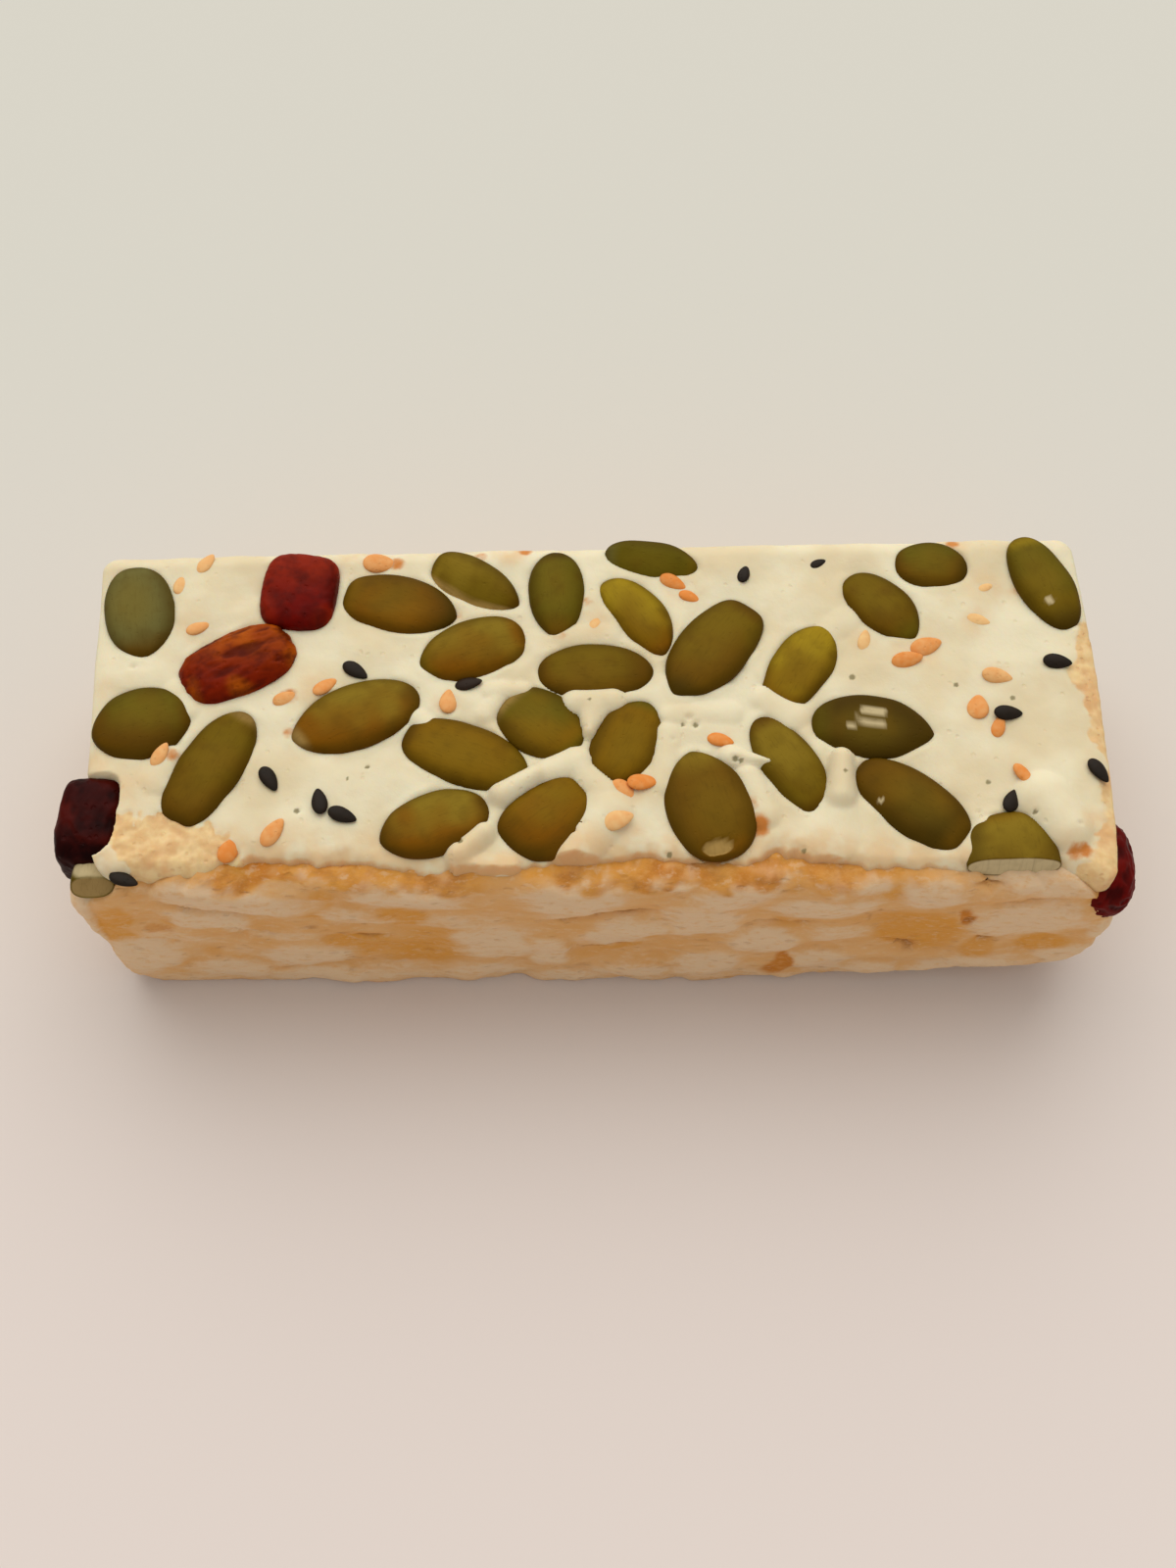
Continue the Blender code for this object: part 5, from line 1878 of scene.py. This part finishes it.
@dataclass
class Raisins:
    """The raisins: squared-off, flattened and creased, with painted shade in the creases."""

    levels: int = 6
    corners: int = 60
    ridge: float = 0.45
    broad_crease: float = 1.6
    small_crease: float = 0.5
    small_spacing: float = 0.45
    fine: Ripple = Ripple(0.6 * MM, 9.0, 0.05 * MM)
    far_span: Span = (0.2, 0.9)
    glow: Patches = Patches(Ripple(3.0 * MM, 4.0), (-0.1, 0.5), 0.6)
    # Painted shade: the hollows between the creases are darkened towards a darker copy of the near tone.
    crease_shade_span: Span = (0.1, -0.5)
    crease_shade_most: float = 0.9
    shade_by_crease_depth: float = 4.0
    crease_shade_tone: float = 0.35

    def form(self, look: RaisinLook, seed: int) -> tuple[Array, list, Array]:
        """One raisin in the bar's frame.

        Args:
            look: its size, place and creases.
            seed: for where its creases run.

        Returns:
            The points, the faces, and at each point how high it stands between the creases.
        """
        bm = bmesh.new()
        bmesh.ops.create_icosphere(bm, subdivisions=self.levels, radius=1.0)
        ball = np.array([vert.co for vert in bm.verts], float)
        faces = [[vert.index for vert in face.verts] for face in bm.faces]
        bm.free()
        size = np.array(look.size) * MM
        points = ball * look.reach(ball)[:, None] * size / 2.0
        outward = ball / size
        outward /= np.linalg.norm(outward, axis=1)[:, None]
        spacing = look.spacing * MM
        broad = Ripple(spacing, 2.0, self.broad_crease, look.stretch).at(points, seed)
        small = Ripple(spacing * self.small_spacing, 6.0, self.small_crease, look.stretch).at(points, seed)
        ridges = self.ridge - np.abs(broad) - np.abs(small)
        points += outward * (ridges * look.crease * MM + self.fine.at(points, seed))[:, None]
        return points @ turn_about_z(look.heading).T + np.array(look.centre) * MM, faces, ridges

    def footprint(self, look: RaisinLook) -> Array:
        """A raisin's outline from above, as rows of x and y."""
        angle = np.linspace(0.0, 2.0 * math.pi, self.corners, endpoint=False)
        ring = np.stack([np.cos(angle), np.sin(angle)], axis=1)
        local = ring * look.reach(ring)[:, None] * np.array(look.size[:2]) * MM / 2.0
        return local @ turn_about_z(look.heading, 2).T + np.array(look.centre[:2]) * MM

    def build(self, material: Material) -> None:
        """Builds every raisin, each standing for its CAD node.

        Args:
            material: the finish of their skins.
        """
        for index, look in enumerate(RAISIN_LOOKS):
            name = f"raisin_{index + 1:02d}"
            points, faces, ridges = self.form(look, index)
            piece = new_piece(f"plump_{name}", points, faces, material)
            near = np.tile(look.near, (len(points), 1))
            colour = blend(near, look.far, smooth_step(*self.far_span, far_share(points)))
            colour = blend(colour, look.glow, self.glow.at(points, index))
            # Painted shade in the creases.
            most = min(self.crease_shade_most, look.crease * self.shade_by_crease_depth)
            dark = smooth_step(*self.crease_shade_span, ridges) * most
            store_colours(piece, "skin", blend(colour, near * self.crease_shade_tone, dark))
            finish_piece(piece, "raisin", name)


# ---- sesame ----


@dataclass(frozen=True)
class Sprinkle:
    """A sesame seed: x, y and lift in millimetres, heading in degrees, and its size, tint and breadth."""

    x: float
    y: float
    heading: float
    lift: float = 0.1
    size: float = 1.0
    tint: float = 0.5
    broad: float = 1.0


BLACK_SESAME = tuple(Sprinkle(*row) for row in (
    (-25.3, 4.8, -35, 0.15), (-33.6, -8.2, -60, 0.25), (-28.3, -10.9, 100, 0.3), (-25.9, -12.5, -20, 0.3),
    (-47.7, -18.8, -20, 0.25), (16.4, 16.6, 80, -0.1, 0.85), (24.3, 17.8, 20, -0.2, 0.8),
    (49.0, 4.6, -10, 0.25), (43.1, -1.5, 0, 0.3), (51.6, -8.5, -60, 0.3), (42.4, -11.6, 60, 0.3),
    (-13.3, 3.0, 10, 0.1, 0.95, 1.0),
))
WHITE_SESAME = tuple(Sprinkle(*row) for row in (
    (-42.2, 18.8, 60, -0.1, 0.95, 0.4, 1.1), (-44.6, 16.1, 80, -0.2, 0.9, 0.3, 1.1),
    (-42.2, 10.6, 30, -0.2, 1.0, 0.55), (-28.4, 3.0, 40, -0.1, 1.0, 0.75),
    (-32.4, 1.5, 20, -0.1, 0.95, 0.6), (-15.4, 0.9, 85, 0.0, 1.0, 0.6, 1.1),
    (-32.9, -14.2, 55, 0.0, 1.1, 0.7, 1.05), (-37.2, -15.9, 60, 0.0, 1.0, 0.95, 1.15),
    (-23.2, 18.6, 0, -0.1, 1.2, 0.7, 1.2), (8.7, 15.7, -30, -0.1, 1.0, 0.9),
    (10.6, 13.8, -20, -0.15, 0.9, 1.0), (28.9, 7.8, 80, -0.1, 0.9, 0.2),
    (35.4, 7.1, 20, 0.1, 1.15, 0.75, 1.1), (33.2, 5.3, 10, 0.1, 1.1, 0.85),
    (42.5, 3.1, -15, 0.1, 1.05, 0.45), (40.1, -0.5, 80, 0.1, 0.95, 0.7, 1.45),
    (42.0, -2.9, 70, 0.1, 0.85, 0.85), (43.9, -8.9, -60, 0.1, 1.05, 0.85, 0.8),
    (12.9, -4.0, -20, -0.1, 0.95, 0.95, 1.1), (4.7, -9.0, 5, 0.2, 1.05, 0.95, 1.15),
    (2.8, -9.8, -40, 0.0, 1.0, 0.75, 1.15), (2.0, -13.6, 15, 0.1, 1.1, 0.35, 1.15),
    (42.7, 14.8, 30, -0.3, 0.9, 0.2), (41.1, 10.3, -20, -0.25, 1.0, 0.2), (0.1, 10.3, 70, -0.25, 0.9, 0.3),
    (-45.0, -5.2, 65, 0.0, 0.95, 0.5),
))


class GeometrySheet(NodeSheet):
    """A Geometry Nodes tree that repeats a small form over points."""

    def __init__(self, name: str, sizes: dict[str, float]) -> None:
        """Starts the tree with a geometry, one named input for each size, and a material."""
        super().__init__(bpy.data.node_groups.new(name, "GeometryNodeTree"))
        face = self.tree.interface
        face.new_socket("Geometry", in_out="INPUT", socket_type="NodeSocketGeometry")
        for key, value in sizes.items():
            face.new_socket(key, in_out="INPUT", socket_type="NodeSocketFloat").default_value = value
        face.new_socket("Material", in_out="INPUT", socket_type="NodeSocketMaterial")
        face.new_socket("Geometry", in_out="OUTPUT", socket_type="NodeSocketGeometry")
        self.source = self.add("NodeGroupInput").outputs

    def named(self, name: str) -> Socket:
        """A number that each point carries."""
        node = self.add("GeometryNodeInputNamedAttribute", {"Name": name}, data_type="FLOAT")
        return node.outputs["Attribute"]

    def product(self, *values: object) -> Socket:
        """Several numbers or sockets multiplied."""
        result = values[0]
        for value in values[1:]:
            result = self.math("MULTIPLY", result, value)
        return result

    def close(self, instances: Socket) -> None:
        """Realizes the instances, smooths them and sets their material."""
        real = self.add("GeometryNodeRealizeInstances", {"Geometry": instances}).outputs[0]
        smooth = self.add("GeometryNodeSetShadeSmooth", {"Geometry": real}).outputs[0]
        dressed = {"Geometry": smooth, "Material": self.source["Material"]}
        self.add("NodeGroupOutput", {"Geometry": self.add("GeometryNodeSetMaterial", dressed).outputs[0]})

    def run(self, name: str, carrier: bpy.types.Mesh, values: dict[str, object]) -> Piece:
        """Runs the tree over a carrier mesh and keeps only its result.

        Args:
            name: the new piece's name.
            carrier: the mesh that the tree starts from.
            values: the inputs, by the name of their socket.

        Returns:
            The piece as a plain mesh, with no modifier.
        """
        holder = link(bpy.data.objects.new(name + "_points", carrier))
        modifier = holder.modifiers.new(name, "NODES")
        modifier.node_group = self.tree
        for item in self.tree.interface.items_tree:
            if item.item_type == "SOCKET" and item.in_out == "INPUT" and item.name in values:
                modifier[item.identifier] = values[item.name]
        bpy.context.view_layer.update()
        mesh = bpy.data.meshes.new_from_object(holder.evaluated_get(bpy.context.evaluated_depsgraph_get()))
        mesh.name = name
        bpy.data.objects.remove(holder)
        return link(bpy.data.objects.new(name, mesh))


@dataclass
class Sesame:
    """Sesame seeds of one colour, lying in the marshmallow."""

    name: str
    slot: str
    sprinkles: tuple[Sprinkle, ...]
    length: float = 3.1 * MM
    width: float = 1.9 * MM
    thickness: float = 0.9 * MM
    taper: float = 0.42
    taper_power: float = 1.6
    segments: int = 20
    rings: int = 16
    most_pitch: float = 8.0
    most_roll: float = 14.0
    seed: int = 5

    def tree(self, sizes: dict[str, float]) -> GeometrySheet:
        """A tree that lays a tapered seed at each point by its heading, tilt and size."""
        sheet = GeometrySheet(self.name + "_rule", sizes)
        source = sheet.source
        form = {"Segments": self.segments, "Rings": self.rings, "Radius": 0.5}
        ball = sheet.add("GeometryNodeMeshUVSphere", form).outputs[0]
        position = sheet.add("GeometryNodeInputPosition").outputs[0]
        part = sheet.add("ShaderNodeSeparateXYZ", {0: position}).outputs
        toward_tip = sheet.math("ADD", part[2], 0.5)
        drawn = sheet.product(sheet.math("POWER", toward_tip, self.taper_power), source["Taper"])
        girth = sheet.math("SUBTRACT", 1.0, drawn)
        x = sheet.product(part[2], source["Length"])
        y = sheet.product(part[0], source["Width"], girth)
        z = sheet.product(part[1], source["Thickness"], girth)
        place = sheet.add("ShaderNodeCombineXYZ", {0: x, 1: y, 2: z}).outputs[0]
        seed = sheet.add("GeometryNodeSetPosition", {"Geometry": ball, "Position": place}).outputs[0]
        angles = {index: sheet.named(name) for index, name in enumerate(("roll", "pitch", "heading"))}
        turn = sheet.add("ShaderNodeCombineXYZ", angles).outputs[0]
        rotation = sheet.add("FunctionNodeEulerToRotation", {0: turn}).outputs[0]
        size = sheet.named("size")
        wide = sheet.product(size, sheet.named("broad"))
        scale = sheet.add("ShaderNodeCombineXYZ", {0: size, 1: wide, 2: size}).outputs[0]
        laid = {"Points": source["Geometry"], "Instance": seed, "Rotation": rotation, "Scale": scale}
        sheet.close(sheet.add("GeometryNodeInstanceOnPoints", laid).outputs[0])
        return sheet

    def build(self, material: Material, top: "SkinHeight") -> None:
        """Lays the seeds on the marshmallow. Their own solids are fused with its node, so they hide none.

        Args:
            material: their finish.
            top: the height of the marshmallow.
        """
        draw = random.Random(self.seed)
        seeds = self.sprinkles
        plan = np.array([(seed.x, seed.y) for seed in seeds]) * MM
        lift = np.array([seed.lift for seed in seeds]) * MM
        points = np.column_stack([plan, top.at(plan) + lift])
        carrier = bpy.data.meshes.new(self.name + "_places")
        carrier.from_pydata(points.tolist(), [], [])
        rows = {
            "heading": [math.radians(seed.heading) for seed in seeds],
            "pitch": [math.radians(draw.uniform(-self.most_pitch, self.most_pitch)) for _ in seeds],
            "roll": [math.radians(draw.uniform(-self.most_roll, self.most_roll)) for _ in seeds],
        }
        rows |= {name: [getattr(seed, name) for seed in seeds] for name in ("size", "tint", "broad")}
        for name, values in rows.items():
            carrier.attributes.new(name, "FLOAT", "POINT").data.foreach_set("value", values)
        sizes = {"Length": self.length, "Width": self.width, "Thickness": self.thickness, "Taper": self.taper}
        piece = self.tree(sizes).run(self.name, carrier, sizes | {"Material": material})
        finish_piece(piece, self.slot)


@dataclass
class SkinHeight:
    """Reads the height of a finished surface at places of its plan."""

    points: Array

    @classmethod
    def of(cls, piece: Piece, count: int) -> "SkinHeight":
        """The heights of a piece's first points, which are its upper skin."""
        return cls(np.array([vert.co for vert in piece.data.vertices[:count]], float))

    def at(self, plan: Array) -> Array:
        """The height at the skin's point nearest to each place."""
        near = [int(np.argmin(((self.points[:, :2] - place) ** 2).sum(axis=1))) for place in plan]
        return self.points[near, 2]


# ---- the studio ----


@dataclass
class Studio:
    """The pale floor, the soft light and the camera."""

    floor_size: float = 4.0
    sun_strength: float = 1.9
    sun_spread: float = 75.0
    sun_from: Point = (-0.06, 0.72, 0.9)
    sun_colour: Colour = (1.0, 0.985, 0.955)
    sky: Colour = (0.98, 0.99, 1.0)
    sky_strength: float = 0.56
    camera_place: Point = (-0.00285, -0.10344, 0.20297)
    camera_pitch: float = 62.0
    camera_yaw: float = 1.178
    camera_roll: float = 0.328
    camera_lens: float = 45.0
    camera_sensor: float = 36.0
    camera_start: float = 5.0 * MM

    def build(self) -> None:
        """Makes the floor, the light and the camera."""
        mesh = bpy.data.meshes.new("table_top")
        half = self.floor_size / 2.0
        corners = [(-half, -half, 0.0), (half, -half, 0.0), (half, half, 0.0), (-half, half, 0.0)]
        mesh.from_pydata(corners, [], [(0, 1, 2, 3)])
        mesh.materials.append(FloorFinish("table", roughness=0.8, specular=0.1).build())
        link(bpy.data.objects.new("table_top", mesh))
        self.light()
        self.camera()

    def light(self) -> None:
        """Lights the scene with a broad lamp from behind and an even sky."""
        world = bpy.data.worlds.new("studio")
        world.use_nodes = True
        background = world.node_tree.nodes["Background"]
        background.inputs["Color"].default_value = (*self.sky, 1.0)
        background.inputs["Strength"].default_value = self.sky_strength
        bpy.context.scene.world = world
        lamp = bpy.data.lights.new("broad_lamp", "SUN")
        lamp.energy = self.sun_strength
        lamp.angle = math.radians(self.sun_spread)
        lamp.color = self.sun_colour
        holder = link(bpy.data.objects.new("broad_lamp", lamp))
        holder.rotation_euler = Vector(self.sun_from).to_track_quat("Z", "Y").to_euler()
        bpy.context.scene.view_settings.view_transform = "Standard"

    def camera(self) -> None:
        """Sets the camera at the given angle."""
        data = bpy.data.cameras.new("camera")
        data.lens = self.camera_lens
        data.sensor_width = self.camera_sensor
        data.clip_start = self.camera_start
        yaw, pitch = math.radians(self.camera_yaw), math.radians(self.camera_pitch)
        forward = Vector((math.sin(yaw) * math.cos(pitch), math.cos(yaw) * math.cos(pitch), -math.sin(pitch)))
        right = forward.cross(Vector((0.0, 0.0, 1.0))).normalized()
        up = right.cross(forward)
        roll = math.radians(self.camera_roll)
        turned_right = right * math.cos(roll) + up * math.sin(roll)
        turned_up = up * math.cos(roll) - right * math.sin(roll)
        turn = Matrix((turned_right, turned_up, -forward)).transposed()
        camera = link(bpy.data.objects.new("camera", data))
        camera.matrix_world = Matrix.Translation(self.camera_place) @ turn.to_4x4()
        bpy.context.scene.camera = camera


def main() -> None:
    """Builds the bar's pieces in order, then the studio."""
    logging.basicConfig(level=logging.INFO, format="%(name)s: %(message)s")
    plan = BarPlan()
    dough_finish = DoughFinish("puffed_dough_cut", roughness=0.75, specular=0.1, subsurface=0.15)
    white_finish = MarshmallowFinish("set_marshmallow", roughness=0.55, specular=0.12, subsurface=0.3)
    kernel_finish = KernelFinish("kernel_skin", roughness=0.5, specular=0.03)
    raisin_finish = RaisinFinish("raisin_skin", roughness=0.42, specular=0.04)
    black_tones = {"light": linear(22, 20, 12), "dark": linear(42, 28, 17)}
    white_tones = {"light": linear(236, 196, 134), "dark": linear(224, 134, 58)}
    black = SesameFinish("black_sesame_coat", roughness=0.5, specular=0.12, **black_tones)
    white = SesameFinish("toasted_sesame_coat", roughness=0.55, specular=0.1, **white_tones)
    PuffedDough(plan).build(dough_finish.build())
    seeds, raisins = PumpkinSeeds(), Raisins()
    # Two raisins lie in the marshmallow and one hangs over its left edge. The last is below it.
    first, second, over_edge, _ = (raisins.footprint(look) for look in RAISIN_LOOKS)
    top = MarshmallowTop(plan, [*seeds.footprints(), first, second], [over_edge])
    skin = top.build(white_finish.build())
    seeds.build(kernel_finish.build())
    raisins.build(raisin_finish.build())
    height = SkinHeight.of(skin, (top.columns + 1) * (top.rows + 1))
    Sesame("black_sesame_seeds", "black_sesame", BLACK_SESAME).build(black.build(), height)
    Sesame("white_sesame_seeds", "white_sesame", WHITE_SESAME).build(white.build(), height)
    Studio().build()


if __name__ == "__main__":
    main()
